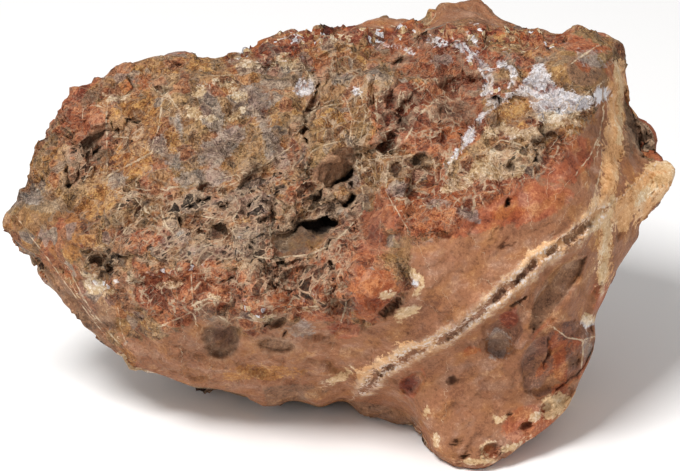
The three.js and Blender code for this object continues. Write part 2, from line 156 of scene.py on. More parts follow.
# %% Smooth noise
def noise(points, size, seed):
    """Smooth noise from -1 to 1 whose lumps are about size mm across."""
    scaled = points / size + 0.31 * seed
    cell = np.floor(scaled)
    part = smooth_step(0, 1, scaled - cell)
    total = np.zeros(len(points))
    for corner in itertools.product((0, 1), repeat=3):
        weight = np.prod(np.where(corner, part, 1 - part), axis=1)
        total += weight * scatter(cell + corner, seed)
    return 2 * total - 1


# %% Cells
def foam(points, size, seed):
    """Distance in mm to the nearest wall between cells, a random number for each cell, its lean in mm."""
    scaled = points / size
    cell = np.floor(scaled)
    nearest = np.full(len(points), 9.0)
    second = nearest.copy()
    who = np.zeros(len(points))
    lean = np.zeros(len(points))
    for step in itertools.product((-1, 0, 1), repeat=3):
        around = cell + step
        offset = scaled - around - np.stack([scatter(around, seed + k) for k in range(3)], axis=1)
        away = np.linalg.norm(offset, axis=1)
        closer = away < nearest
        second = np.where(closer, nearest, np.minimum(second, away))
        slope = np.stack([scatter(around, seed + k) - 0.5 for k in (4, 5, 6)], axis=1)
        lean = np.where(closer, np.sum(offset * slope, axis=1), lean)
        who = np.where(closer, scatter(around, seed + 3), who)
        nearest = np.where(closer, away, nearest)
    return (second - nearest) * size / 2, who, lean * size


print("noise sample", noise(rest[:2], 10, 1).round(3), "wall distances", foam(rest[:2], 6, 5)[0].round(2))

# %% [markdown]
# ## Fields
# A field says for every vertex how many mm it lies inside a patch, and is negative outside. Fields
# stay sharp between vertices, so the relief and the material can both cut a crisp edge from them.
# A patch is an ellipse (column, row, half width, half height, turn), an outline of corners, or a
# stroke along a line, and it only counts on the side that the photograph shows.

# %% Where the vertices are seen
near = smooth_step(-0.12, 0.2, facing)
wander = np.stack([noise(rest, 7, 11), noise(rest, 7, 12)], axis=1)
ragged = np.stack([noise(rest, 2.6, 13), noise(rest, 2.6, 14)], axis=1)
wandering = seen(rest) + 2.2 * wander + 1.6 * ragged
steady = seen(rest) + 0.8 * wander + 0.7 * ragged
HIDDEN = -9.0  # mm, the value of a field where nothing of it is near


# %% Lines, ellipses and outlines
def line_field(points, at):
    """Distance in mm from a line of the photograph, signed by its side."""
    nearest = np.full(COUNT, 99.0)
    for start, end in zip(np.array(points[:-1], float), np.array(points[1:], float)):
        run = end - start
        offset = at - start
        along = np.clip(offset @ run / (run @ run), 0, 1)
        gap = offset - along[:, None] * run
        side = np.where(run[0] * gap[:, 1] > run[1] * gap[:, 0], 1, -1)
        distance = side * np.hypot(gap[:, 0], gap[:, 1]) * PIXEL
        nearest = np.where(np.abs(distance) < np.abs(nearest), distance, nearest)
    return nearest


def ellipse_field(at, column, row, half_width, half_height, turn=0.0):
    angle = math.radians(turn)
    across = at - (column, row)
    along = (across[:, 0] * math.cos(angle) - across[:, 1] * math.sin(angle)) / half_width
    aside = (across[:, 0] * math.sin(angle) + across[:, 1] * math.cos(angle)) / half_height
    size = 0.5 * (min(half_width, half_height) + math.sqrt(half_width * half_height))
    return (1 - np.hypot(along, aside)) * size * PIXEL


def outline_field(corners, at):
    inside = np.zeros(COUNT, bool)
    for (x0, y0), (x1, y1) in zip(corners, corners[1:] + corners[:1]):
        if y0 != y1:
            crosses = (y0 > at[:, 1]) != (y1 > at[:, 1])
            inside ^= crosses & (at[:, 0] < (x1 - x0) * (at[:, 1] - y0) / (y1 - y0) + x0)
    distance = np.abs(line_field(corners + corners[:1], at))
    return np.where(inside, distance, -distance)


def patch_field(patch, at):
    """One patch: an outline, a stroke (points, half width in pixels) or an ellipse."""
    if isinstance(patch, list):
        return outline_field(patch, at)
    if isinstance(patch[0], list):
        return patch[1] * PIXEL - np.abs(line_field(patch[0], at))
    return ellipse_field(at, *patch)


def field(patches, hidden_side=HIDDEN, at=None):
    """The union of the patches. hidden_side is a field for the side that the photograph can't show."""
    total = np.full(COUNT, HIDDEN)
    for patch in patches:
        total = np.maximum(total, patch_field(patch, wandering if at is None else at))
    return near * total + (1 - near) * hidden_side


# %% [markdown]
# ## Smooth breaks and spongy rock
# Jasper breaks with smooth, slightly dished faces, while the weathered rock is full of cells. One
# outline marks the large smooth break, and a list of calmer faces lies beside it. Everything else
# on the seen side is spongy: porous where it is open like a sponge, celled where thin walls stand
# round larger cells. The hidden side is a mix of both, split by a slow noise.

# %% Zones
SMOOTH_BREAKS = [
    # the slab, the beak and the foot lobe
    [(402, 212), (412, 247), (440, 240), (466, 218), (500, 196), (534, 178), (560, 158), (588, 118),
     (600, 60), (626, 70), (630, 150), (650, 160), (690, 160), (670, 225), (622, 305), (602, 334),
     (604, 352), (580, 392), (566, 424), (530, 456), (500, 474), (450, 480), (425, 460), (400, 428),
     (335, 396), (330, 352), (350, 325), (366, 326), (398, 306), (412, 280)],
]
LOWER_BAND = [
    (110, 330), (136, 338), (158, 338), (176, 328), (190, 318), (204, 312), (222, 322), (240, 333),
    (262, 331), (278, 319), (300, 317), (322, 312), (350, 330), (345, 412), (262, 412), (140, 375),
]
FAR_LUMPS = [
    # behind the crest
    [(428, 34), (436, 10), (462, -4), (484, 0), (512, 26), (500, 34), (476, 22), (452, 22)],
    [(338, 40), (356, 22), (380, 10), (416, 14), (408, 30), (376, 32)],
]
CALM_BREAKS = [
    LOWER_BAND, *FAR_LUMPS,
    # the left wing and the facets under it
    [(-10, 220), (14, 200), (44, 196), (76, 214), (88, 250), (82, 268), (118, 306), (160, 340),
     (110, 365), (30, 285)],
    # the shell of the eye and the olive pocket under it
    (332, 166, 27, 13, 40),
    [(275, 232), (294, 230), (326, 230), (322, 240), (304, 252), (284, 257), (274, 254)],
    # the red knob and the red face above it
    [(350, 284), (362, 268), (392, 272), (402, 288), (396, 304), (378, 322), (356, 320), (352, 300)],
    [(362, 200), (392, 198), (402, 214), (410, 250), (398, 264), (374, 266), (354, 262), (366, 236)],
    # the facets of the peak
    [(556, 56), (578, 32), (606, 44), (612, 66), (600, 92), (570, 92), (550, 76)],
]
POROUS_PARTS = [
    # the slots and pores round the eye, and the left window
    [(118, 188), (150, 196), (205, 188), (262, 168), (300, 150), (330, 190), (362, 196), (356, 250),
     (346, 300), (240, 296), (200, 268), (150, 262), (122, 240)],
    (100, 262, 22, 15, 0), (132, 140, 20, 14, 0), (86, 160, 16, 22, -20),
    # the boxwork, the triangle beside the red knob and the knob of the edge
    (520, 158, 22, 12, 20), (648, 140, 14, 20, 0), [(316, 300), (346, 270), (350, 314), (322, 312)],
]
CELLED_PARTS = [
    # the walled cells from the eye to the boxwork, and round the crimson ones
    (376, 138, 36, 56, 10), (470, 178, 74, 34, 10), (430, 108, 34, 34, 0), (548, 140, 50, 34, 20),
    (330, 120, 24, 22, 0), (400, 190, 24, 34, 0), (316, 306, 40, 12, 0), (190, 292, 56, 26, 0),
    (300, 288, 46, 30, 0), (340, 70, 30, 20, 0),
]
smooth_field = field(SMOOTH_BREAKS, 9 * noise(rest, 34, 21) + 1.5)
calm_field = field(CALM_BREAKS)
spongy = (1 - smooth_step(-1.2, 1.6, smooth_field)) * (1 - 0.65 * smooth_step(-1.2, 1.6, calm_field))
porous_field = field(POROUS_PARTS, 6 * noise(rest, 22, 23))
porous = spongy * (0.3 + 0.7 * smooth_step(-1.5, 1.0, porous_field))
celled = spongy * smooth_step(-1.5, 1.5, field(CELLED_PARTS, 5 * noise(rest, 26, 24)))
print("spongy share of the skin:", round(float(spongy.mean()), 2), "porous:", round(float(porous.mean()), 2))

# %% [markdown]
# ## Hollows, knobs and slots
# These are the forms that someone would point at: the dark eye, the slots beside it, the cup in
# the lower band, the red knob. Each moves the skin along the line of sight, which keeps the outline
# as the solid has it. The floor is flat and the side is steep, as where a pebble has fallen out.
# The fourth number is painted shade: it darkens each hollow, and the narrow slots are painted black as their
# shadow, while the wide hollows stay brown.

# %% Carve
HOLLOWS = {
    # name: (patch, depth in mm, width of its side in mm, painted shade from 0 to 1, painted black above 0.9)
    "hollow of the eye": ((351, 170, 10, 6, 60), 1.4, 2.0, 0.1),
    "crack under the eye": (([(354, 170), (347, 178), (338, 182)], 2.2), 3.2, 0.6, 1.0),
    "slot under the eye": (([(336, 184), (326, 192), (316, 197)], 2.4), 2.2, 0.8, 0.6),
    "gap beside the nodule": (([(353, 198), (347, 203), (341, 207)], 3.0), 3.8, 0.5, 1.0),
    "thin gap right of the nodule": (([(352, 184), (352, 196)], 1.4), 2.4, 0.4, 0.8),
    "long slot": (([(294, 229), (304, 226), (316, 226), (328, 221)], 4.2), 4.2, 0.6, 1.0),
    "olive pocket": ([(275, 232), (294, 228), (326, 228), (322, 238), (304, 250), (284, 256),
        (274, 254)], 1.4, 0.8, 0.7),
    "gap right of the spine": ([(271, 201), (282, 200), (275, 208), (272, 214)], 3.2, 0.5, 1.0),
    "gap left of the spine": ((253, 204, 5, 3, 45), 2.8, 0.5, 1.0),
    "brown cell": ((226, 208, 9, 6, 10), 2.2, 0.8, 0.55),
    "long brown cell": ((217, 231, 13, 5, 38), 1.8, 0.8, 0.5),
    "pore by the grey": ((176, 221, 4.5, 3.5, 0), 2.2, 0.5, 0.9),
    "thin slot": (([(196, 202), (209, 199)], 1.8), 1.8, 0.4, 1.0),
    "pore at the slot's tail": ((189, 208, 2.6, 1.8, -30), 1.6, 0.4, 1.0),
    "pore of the yellow cell": ((199, 232, 1.6, 3, 0), 1.6, 0.4, 1.0),
    "upper long cell": (([(256, 168), (248, 178), (243, 188)], 4.0), 1.6, 0.9, 0.5),
    "slim cell": (([(196, 194), (206, 186)], 3.0), 1.4, 0.6, 0.5),
    "steep slit one": (([(252, 240), (249, 248)], 1.4), 1.4, 0.4, 1.0),
    "steep slit two": (([(252, 262), (252, 271)], 1.8), 1.4, 0.4, 1.0),
    "steep slit three": (([(262, 263), (260, 268)], 1.2), 1.0, 0.4, 1.0),
    "steep slit four": (([(281, 258), (279, 266)], 1.8), 1.4, 0.4, 0.95),
    "steep slit five": (([(331, 242), (328, 250)], 1.5), 2.0, 0.4, 1.0),
    "steep slit seven": (([(330, 262), (331, 270)], 1.3), 1.6, 0.4, 0.9),
    "steep slit eight": (([(259, 222), (265, 218)], 1.4), 1.6, 0.4, 0.8),
    "flat slit": (([(270, 281), (279, 276)], 1.1), 0.8, 0.4, 0.9),
    "left crack": (([(78, 152), (91, 140), (104, 130)], 3.0), 1.8, 1.0, 0.4),
    "left crack's foot": (([(86, 156), (101, 147)], 1.6), 1.8, 0.4, 1.0),
    "left shadow": (([(69, 156), (67, 168), (68, 182)], 2.2), 1.6, 0.6, 0.7),
    "left pit": ((69, 186, 4.5, 2.4, 0), 2.0, 0.5, 1.0),
    "crack of the boulders": (([(80, 160), (78, 174), (74, 186)], 1.2), 1.4, 0.4, 0.9),
    "wing pit": ((96, 262, 5, 3, -30), 1.6, 0.5, 0.8),
    "wing pit above": ((104, 255, 2.4, 1.8, 0), 1.2, 0.4, 0.9),
    "wing pit below": ((108, 271, 2, 3.4, 0), 1.4, 0.4, 0.8),
    "pit in the white": ((133, 275, 2, 1.5, 0), 1.4, 0.4, 1.0),
    "dark cup": ((221, 338, 18, 20, 0), 2.8, 2.6, 0.3),
    "core of the cup": ((223, 336, 10, 11, 0), 0.8, 1.6, 0.45),
    "ledge beside the cup": ([(264, 324), (274, 315), (288, 315), (282, 326),
        (272, 328)], 1.6, 0.6, 0.5),
    "pit in the lower band": ((285, 332, 2.2, 4, -30), 1.4, 0.4, 0.8),
    "hatched hollow": ((275, 344, 20, 7, -8), 1.2, 1.2, 0.25),
    "window's dark streak": (([(111, 129), (124, 127), (134, 124)], 3.4), 1.6, 0.7, 0.35),
    "dark dab above the white": (([(156, 89), (166, 91)], 1.8), 1.2, 0.5, 0.7),
    # painted shade darkens this face, whose dish is only 0.6 mm deep
    "dull face beside the eye": ((376, 222, 15, 30, 10), 0.6, 5.0, 0.3),
    "crimson pocket": ((465, 84, 26, 9, 6), 1.3, 1.0, 0.1),
    "hole in the crimson pocket": ((495, 99, 5, 3.4, 0), 2.4, 0.5, 1.0),
    "purple oval": ((452, 111, 18, 8, 6), 1.4, 0.8, 0.1),
    "red cell, upper left": ((389, 98, 8, 9, 0), 1.4, 0.6, 0.1),
    "red cell, middle": ((408, 107, 9, 9, 30), 1.2, 0.6, 0.15),
    "red cell, lower": ((392, 119, 10, 6, 0), 1.2, 0.6, 0.15),
    "red cell, right": ((404, 122, 8, 5, 30), 1.6, 0.5, 0.8),
    "red cell, bottom": ((387, 142, 11, 8, 8), 1.8, 0.7, 0.25),
    "pocket under the crest": ((424, 41, 7, 5, 0), 1.8, 0.6, 0.5),
    "slot under the crest": (([(396, 64), (402, 60)], 3.2), 2.0, 0.5, 0.9),
    "small olive cell": ((396, 170, 8, 8, 0), 1.4, 0.6, 0.3),
    "dark olive cell": ((421, 159, 6, 5, 0), 1.8, 0.6, 0.6),
    "ochre cell": ((511, 111, 22, 14, 14), 1.0, 0.8, 0.0),
    "olive cell right of it": ((545, 140, 12, 7, 20), 1.2, 0.8, 0.2),
    "cell of the boxwork": ((511, 168, 5, 4, 0), 1.6, 0.5, 0.7),
    "slim cell of the boxwork": (([(537, 152), (536, 162)], 2.0), 2.0, 0.4, 0.9),
    "black hole": ((508, 203, 2.4, 4.6, 0), 3.0, 0.4, 1.0),
    "slot of the tan slab": (([(502, 245), (512, 244)], 1.8), 0.8, 0.6, 0.3),
    "groove of the tan slab": (([(496, 228), (492, 238)], 1.2), 0.5, 0.5, 0.3),
    "shard hollow": ([(586, 258), (580, 276), (566, 296), (548, 318), (532, 335), (529, 322),
        (535, 298), (548, 276), (566, 262)], 2.2, 0.3, 0.0),
    "heart hollow": ([(484, 326), (494, 322), (508, 312), (520, 316), (523, 330), (515, 352),
        (500, 359), (488, 350)], 2.4, 0.8, 0.05),
    "slot above the heart": (([(513, 305), (523, 298)], 1.8), 1.6, 0.4, 0.7),
    "brown panel": ([(524, 352), (540, 332), (560, 321), (592, 322), (596, 345), (578, 376),
        (556, 392), (538, 398), (524, 388), (520, 368)], 1.8, 0.5, 0.0),
    "groove of the brown panel": (([(548, 338), (549, 352), (543, 364)], 1.6), 1.2, 0.5, 0.5),
    "dark corner of the panel": ((574, 360, 7, 6, 30), 1.2, 0.7, 0.5),
    "pit of the lobe": ((453, 381, 5, 4, 0), 1.6, 0.6, 0.7),
    "low pit of the lobe": ((457, 442, 3.4, 5, 0), 1.2, 0.6, 0.6),
    "lowest pit of the lobe": ((465, 456, 2.6, 3.6, 0), 1.2, 0.5, 0.8),
    "orange pocket": ((491, 452, 9, 8, 30), 1.6, 0.6, 0.1),
    "dark cell of the lobe": ((527, 427, 6, 3.6, 10), 1.6, 0.5, 0.7),
    "cell under the pale lump": ((546, 408, 5, 4, 40), 1.0, 0.5, 0.3),
    "pore above it": ((509, 414, 2.4, 2, 0), 1.2, 0.4, 0.9),
    "second cell on the right": ((563, 395, 8, 11, -38), 1.4, 0.7, 0.2),
    "red hollow by the vein": ((412, 383, 13, 8, 50), 1.8, 1.2, 0.2),
    "slot of the foot": (([(304, 420), (320, 416)], 2.0), 1.0, 0.6, 0.4),
    "crease under the grey patch": (([(319, 84), (312, 104), (303, 126), (306, 142)], 2.4),
        2.0, 0.7, 0.75),
    "slots left of the crease": (([(296, 124), (290, 132)], 2.2), 1.4, 0.5, 0.8),
    "slot right of the crease": (([(330, 78), (322, 92)], 1.6), 1.2, 0.5, 0.6),
    "red wedge": ([(285, 272), (300, 266), (314, 266), (304, 276), (296, 286),
        (284, 284)], 1.4, 0.5, 0.15),
    "slot on the red knob": (([(399, 301), (391, 310), (384, 316)], 2.4), 2.0, 0.5, 0.9),
    "notch right of the strip": (([(627, 92), (630, 110), (636, 130), (642, 150)], 4.0),
        2.4, 0.8, 0.45),
    "pores of the edge knob": (([(646, 138), (644, 154)], 4.5), 2.2, 0.6, 0.7),
}
KNOBS = {
    "red knob": ((374, 288, 25, 34, 12), 1.8, 3.0),
    "ochre nodule": ((331, 128, 15, 13, 20), 1.6, 1.4),
    "nodule in the gap": ((343, 192, 5.5, 8, 60), 2.6, 0.7),
    "orange seed": ((278, 297, 16, 7.5, 8), 1.6, 0.9),
    "left nodule": ((94, 116, 12, 9, 10), 1.4, 0.8),
    "spine": (([(269, 208), (271, 230), (272, 254)], 2.6), 1.2, 0.8),
    "shell of the eye": ((329, 166, 27, 12, 40), 1.8, 3.4),
    "rim of the eye": (([(304, 182), (306, 164), (320, 150), (338, 144), (353, 151), (357, 162)], 2.2),
        0.8, 0.8),
    "left boulder": ((74, 168, 5, 13, -8), 1.4, 1.2),
    "right boulder": ((86, 170, 6, 11, -20), 1.2, 1.2),
    "facets of the peak": ([(548, 48), (578, 30), (612, 42), (614, 88), (588, 106),
        (560, 92)], 1.6, 1.2),
    "quartz shoulder": ((568, 106, 40, 10, -4), 1.2, 1.2),
    "fill of the wing pit": ((98, 262, 17, 12, 20), 1.6, 2.5),
    "fill below the pale thread": ((270, 271, 13, 11, 0), 2.2, 3.0),
    "round red grain": ((437, 177, 12, 9, 0), 1.2, 1.0),
    "grey grain": ((398, 194, 9, 10, 0), 0.9, 0.9),
    "red crumb": ((430, 226, 18, 12, 0), 0.9, 1.0),
    "pale lump of the lobe": ((553, 404, 10, 7, 20), 0.9, 1.0),
    "right strip": (([(616, 78), (616, 130), (612, 190)], 5.0), 1.0, 1.2),
}


RIM_HEIGHT = 0.55  # mm
RIM_WIDTH = 0.45


def carve(table, sign):
    """Sums the table's forms as a movement towards the eye in mm."""
    move = np.zeros(COUNT)
    for patch, depth, side, *_ in table.values():
        move += sign * depth * smooth_step(-side / 2, side / 2, patch_field(patch, steady))
    return move * near


form = carve(HOLLOWS, -1) + carve(KNOBS, 1)
painted_black_field = np.full(COUNT, HIDDEN)
shade = np.zeros(COUNT)
rim = np.zeros(COUNT)
# painted shade for each hollow, and the narrow slots that are painted black as shadow
for patch, depth, side, painted_darkness in HOLLOWS.values():
    inside = patch_field(patch, steady)
    shade = np.maximum(shade, painted_darkness * smooth_step(-0.2, 0.5, inside) * near)
    rim = np.maximum(rim, near * np.exp(-(((inside + 0.4) / RIM_WIDTH) ** 2)))
    if painted_darkness > 0.9:
        painted_black_field = np.maximum(painted_black_field, inside)
form += RIM_HEIGHT * rim * (1 - shade)
print("carved from", round(form.min(), 1), "to", round(form.max(), 1), "mm")

# %% [markdown]
# ## The crystal vein
# A crack opened across the slab, quartz grew on both of its walls and left a gap between them. On
# the stone it is two pale lips with a dark furrow that closes and opens. The distance across it is
# kept as a field of its own, so that the material can colour the lips and the crystals.

# %% Furrow and lips
VEIN = [(603, 212), (590, 223), (563, 244), (535, 264), (520, 277), (497, 298), (474, 318), (443, 339),
        (412, 354), (384, 369), (364, 388)]
GAPS = [
    # column, row and half length in pixels of each open stretch
    (584, 227, 9), (572, 237, 8), (551, 249, 8), (532, 265, 7), (520, 277, 8), (499, 296, 9),
    (466, 323, 10), (452, 333, 9), (385, 369, 10),
]
LIP_AT = 1.6  # mm from the middle of the vein
LIP_WIDTH = 1.0

vein_across = np.where(near > 0.5, line_field(VEIN, steady), 99.0)
opened = np.zeros(COUNT)
for column, row, half in GAPS:
    reach = np.linalg.norm(steady - (column, row), axis=1) / half
    opened = np.maximum(opened, 1 - smooth_step(0.75, 1.1, reach))
beads = 0.45 * noise(rest, 1.5, 25)
furrow = 1 - smooth_step(0.4, 1.2, np.abs(vein_across) + beads)
lips = np.exp(-(((np.abs(vein_across) - LIP_AT) / LIP_WIDTH) ** 2)) * (1 + 0.6 * noise(rest, 2, 26))
form += near * (0.7 * lips - (0.2 + 1.3 * opened) * furrow)
print("open share of the vein:", round(float(opened[np.abs(vein_across) < 0.5].mean()), 2))

# %% [markdown]
# ## Threads
# Thin seams of quartz stand a little proud because they weather more slowly than the rock. They run
# as lines through the picture, so they are drawn as lines. A signed distance is kept, because it
# passes through zero between two vertices and so stays a thin, unbroken line in the material.

# %% Seams of quartz
CLEAR_THREADS = [
    [(108, 102), (106, 120), (107, 136), (107, 150), (107, 168)], [(108, 100), (119, 97), (130, 95)],
    [(163, 94), (161, 112), (158, 130), (153, 142)], [(191, 262), (191, 280), (193, 303)],
    [(195, 306), (196, 322)], [(213, 298), (217, 315), (232, 325)],
    [(193, 305), (204, 300), (214, 297)],
    [(356, 163), (359, 177), (363, 191), (364, 211), (351, 226), (332, 245), (308, 255), (270, 259),
     (238, 252)],
    [(304, 182), (306, 165), (311, 152), (323, 145), (336, 142)],
    [(301, 134), (304, 119), (314, 110), (330, 105), (341, 104)],
    [(72, 276), (85, 300), (103, 326), (122, 347)], [(108, 176), (122, 168), (138, 160), (152, 152)],
    [(269, 210), (270, 228), (271, 245), (271, 258)], [(555, 329), (568, 338), (583, 340), (592, 337)],
    [(583, 341), (583, 355), (581, 368)], [(568, 66), (580, 57), (597, 46)], [(376, 104), (377, 124)],
    [(346, 280), (346, 307), (341, 321)],
    [(375, 150), (380, 154), (392, 150), (404, 142), (412, 128), (418, 116), (432, 104)],
    [(386, 158), (404, 156), (416, 154)], [(388, 164), (386, 186), (388, 196), (398, 212), (406, 226)],
]
FAINT_THREADS = [
    [(110, 136), (118, 137), (128, 138)], [(154, 90), (168, 95), (178, 108)],
    [(104, 156), (92, 166), (84, 180)], [(82, 118), (84, 108), (94, 105), (105, 108)],
    [(203, 307), (179, 318), (163, 325)], [(211, 268), (238, 267)],
    [(118, 308), (121, 328), (126, 344)], [(240, 318), (262, 322), (290, 308), (318, 306)],
    [(574, 108), (588, 92), (600, 84)], [(604, 110), (600, 134), (590, 156), (574, 176)],
    [(600, 130), (602, 160), (596, 190)], [(392, 76), (400, 60), (410, 48)],
    [(384, 92), (392, 86), (400, 90), (398, 104)], [(402, 92), (414, 90), (424, 84)],
    [(378, 136), (390, 130), (404, 128)], [(380, 142), (400, 138)],
    [(446, 176), (452, 160), (462, 146), (474, 128)],
    [(150, 190), (190, 186), (230, 176), (262, 166), (290, 148)],
    [(186, 214), (214, 218), (240, 222), (262, 214)],
    [(206, 200), (216, 194), (234, 196), (240, 208), (232, 220)], [(160, 205), (165, 225), (172, 232)],
    [(140, 176), (126, 190), (118, 210)], [(124, 232), (140, 216), (158, 204)],
    [(210, 190), (232, 184), (254, 172)], [(236, 228), (222, 240), (206, 246)],
    [(300, 60), (322, 96), (300, 130)], [(344, 96), (352, 118), (350, 140)],
    [(360, 92), (366, 116), (360, 140)], [(352, 146), (366, 160), (384, 158)],
    [(486, 150), (502, 140), (524, 146)], [(524, 146), (532, 160), (522, 172)],
    [(480, 170), (500, 176), (522, 172)], [(556, 112), (560, 128), (556, 140)],
    [(118, 192), (135, 198), (150, 206), (166, 212)], [(126, 188), (140, 204), (158, 222)],
    [(134, 188), (150, 191), (168, 190)], [(266, 66), (282, 72), (300, 70)],
    [(196, 68), (214, 76), (240, 74)], [(246, 92), (252, 104), (254, 118)],
    [(20, 222), (50, 262), (78, 300), (108, 340)],
]


def nearest_thread(at):
    """Signed distance in mm to the nearest thread. The faint ones seem a little further off."""
    nearest = np.full(COUNT, 99.0)
    for line in CLEAR_THREADS + FAINT_THREADS:
        distance = line_field(line, at)
        distance += np.sign(distance) * (0 if line in CLEAR_THREADS else 0.16)
        nearest = np.where(np.abs(distance) < np.abs(nearest), distance, nearest)
    return np.where(near > 0.5, nearest, 99.0)


thread_distance = nearest_thread(steady)
form += 0.45 * np.exp(-((thread_distance / 0.5) ** 2))
print("vertices on threads:", int((np.abs(thread_distance) < 0.4).sum()))

# %% [markdown]
# ## Sponge, grain and pores
# The spongy rock is boxwork: thin walls round cells whose floors lie at different depths. Two sizes
# of foam make the cells, stretched along the slant that the slots of the real stone have. A foam of
# larger cells breaks the rock into blocks with tilted faces, and a small one into crumbs. Where the
# stone is smooth only a low, slow swell is left. This relief moves along the normal.

# %% Cell walls and floors
SLANT = math.radians(38)  # the run of the slots, up to the right
STRETCH = 2.1
COARSE_CELL = 5.6  # mm across, like the other sizes of foam
FINE_CELL = 2.5
CRUMB = 3.3
BLOCK = 8.0
COARSE_DEPTH = 3.0  # mm from the open surface to the deepest floor
FINE_DEPTH = 1.7
grain_axis = np.array([math.cos(SLANT), math.sin(SLANT) * UPWARDS[1], math.sin(SLANT) * UPWARDS[2]])
stretched = rest - (1 - 1 / STRETCH) * (rest @ grain_axis)[:, None] * grain_axis
bent = stretched + 1.6 * np.stack([noise(rest, 5, 31 + k) for k in range(3)], axis=1)
coarse_wall, coarse_cell, coarse_lean = foam(bent, COARSE_CELL, 41)
fine_wall, fine_cell, fine_lean = foam(bent, FINE_CELL, 51)
coarse_floor = smooth_step(0.35, 1.1, coarse_wall) * np.maximum(coarse_cell - 0.45, 0) * COARSE_DEPTH
fine_floor = smooth_step(0.15, 0.5, fine_wall) * np.maximum(fine_cell - 0.35, 0) * FINE_DEPTH
shaken = rest + 1.0 * np.stack([noise(rest, 4, 66 + k) for k in range(3)], axis=1)
block_wall, block, block_lean = foam(shaken, BLOCK, 69)
chunk_wall, chunk, chunk_lean = foam(bent, CRUMB, 161)
facets = 1.4 * (block - 0.5) * smooth_step(0.0, 0.7, block_wall) + 0.75 * block_lean
crumbs = 0.8 * (chunk - 0.5) * smooth_step(0.0, 0.4, chunk_wall) + 0.7 * chunk_lean
crumbs += 0.25 * noise(rest, 1.3, 62)
block_chance = scatter(np.round(block * 997)[:, None] * [1, 0, 0], 9)
crack = np.exp(-((block_wall / 0.45) ** 2)) * smooth_step(0.5, 0.8, block_chance)
swell = 0.45 * noise(rest, 14, 63) + 0.25 * noise(rest, 5, 64) + 0.12 * noise(rest, 1.8, 65)
red_band = smooth_step(-1.5, 1.5, field([[(236, 238), (345, 232), (352, 250), (346, 300), (236, 296)]]))
sponge_depth = porous * (coarse_floor + fine_floor) * (1 - 0.6 * red_band)
sponge_depth += 0.5 * celled * coarse_floor * (1 - porous)
CRUMBS = [
    # the crest, the white line on the wing, the grains in the red band and beside the quartz
    ([(236, 54), (270, 46), (300, 42), (360, 37), (430, 37), (500, 40), (548, 46)], 13),
    ([(80, 276), (104, 288), (130, 277), (160, 271), (200, 266)], 5), (252, 306, 20, 8, 0),
    (316, 300, 14, 5, 14), ([(454, 46), (474, 62), (494, 84), (500, 94)], 8), (545, 88, 12, 9, 20),
    (262, 58, 22, 9, -20),
]
crumbly = field(CRUMBS)
turned = 0.06 + 0.94 * smooth_step(0.0, 0.6, np.abs(facing))  # less relief where it would fray the outline
crumbs += smooth_step(-1, 1.5, crumbly) * (0.6 + 0.9 * noise(rest, 1.7, 163))
crumbs *= 1 - 0.55 * smooth_step(0.4, 1.0, porous)
rough = spongy * (crumbs + facets + 0.4 - 0.8 * crack) - sponge_depth
rough += (1 - spongy) * (swell + 0.25 * block_lean)
print("sponge:", round(float(sponge_depth.max()), 1), "mm deep at most")

# %% [markdown]
# The hidden side gets shell-shaped breaks. A chip leaves a face that is nearly flat and ends in a
# step, so a foam of large cells, each tilted its own way, looks broken rather than melted.

# %% Breaks of the hidden side
CHIP = 21.0  # mm across
jolted = rest + 3 * np.stack([noise(rest, 12, 71 + k) for k in range(3)], axis=1)
chip_wall, chip_cell, chip_lean = foam(jolted, CHIP, 75)
chips = 2.2 * (chip_cell - 0.6) * smooth_step(0.2, 1.6, chip_wall) + 0.35 * chip_lean
rough = turned * (rough + (1 - near) * chips)

# %% [markdown]
# A few points of the outline are sharper on the stone than on the solid. Tugging pulls everything
# near such a point a little way across the picture, with the pull dying out round it.

# %% Tug the outline
TUGS = [
    # column, row, reach in pixels, pull to the right and up in mm
    (4, 218, 8, -0.1, 0.2), (36, 140, 10, 2.5, -1.0), (33, 266, 10, 2.2, 1.3), (104, 70, 12, 0.9, -1.1),
    (84, 84, 8, 0.5, -0.5), (88, 326, 8, -0.8, -0.3), (122, 360, 8, 0.5, 0.8), (252, 42, 11, 0.0, -2.3),
    (304, 29, 7, 0.0, -1.4), (416, 18, 7, 0.0, -1.8), (528, 28, 7, 0.0, -0.8), (676, 168, 9, 1.8, 0.5),
    (658, 138, 8, 1.5, 0.2), (656, 155, 7, -3.0, -0.8), (640, 116, 7, -0.6, -0.8),
    (668, 160, 7, 0.3, 1.0), (427, 10, 6, 0.3, -2.2), (441, 12, 8, -0.3, 1.4), (620, 46, 10, 0.9, 0.1),
    (580, 27, 12, 0.0, 0.6), (600, 30, 8, 0.1, -0.3), (553, 34, 6, 0.0, -0.4),
    (437, 452, 14, -0.9, -0.5), (362, 412, 12, -0.2, -0.6), (398, 424, 12, 0.0, -0.7),
    (530, 454, 20, -0.3, 0.9), (504, 464, 12, 0.0, 0.5), (640, 228, 7, -0.6, 0.8),
]
tug = np.zeros((COUNT, 3))
for column, row, reach, right, up in TUGS:
    pull = np.exp(-((np.linalg.norm(seen(rest) - (column, row), axis=1) / reach) ** 2))
    tug += pull[:, None] * (right * np.array([1.0, 0.0, 0.0]) + up * UPWARDS)

# %% Shape the skin
points = rest + tug + form[:, None] * TOWARDS_EYE
place(points)
points = points + rough[:, None] * read("normal")
points[base_level] = rest[base_level]
place(points)
print("finished skin:", (points.max(0) - points.min(0)).round(1), "mm")

# The colours are placed on the finished skin, so the relief doesn't bend their lines.
wandering = seen(points) + 2.2 * wander + 1.6 * ragged
steady = seen(points) + 0.4 * wander + 0.3 * ragged

# %% [markdown]
# ## Minerals
# Each mineral is a field, so the material knows how deep inside a patch of it a point lies. On the
# side that the photograph shows, the patches are listed. On the hidden side the same
# minerals follow slow noises, with about the share that each has on the seen side.


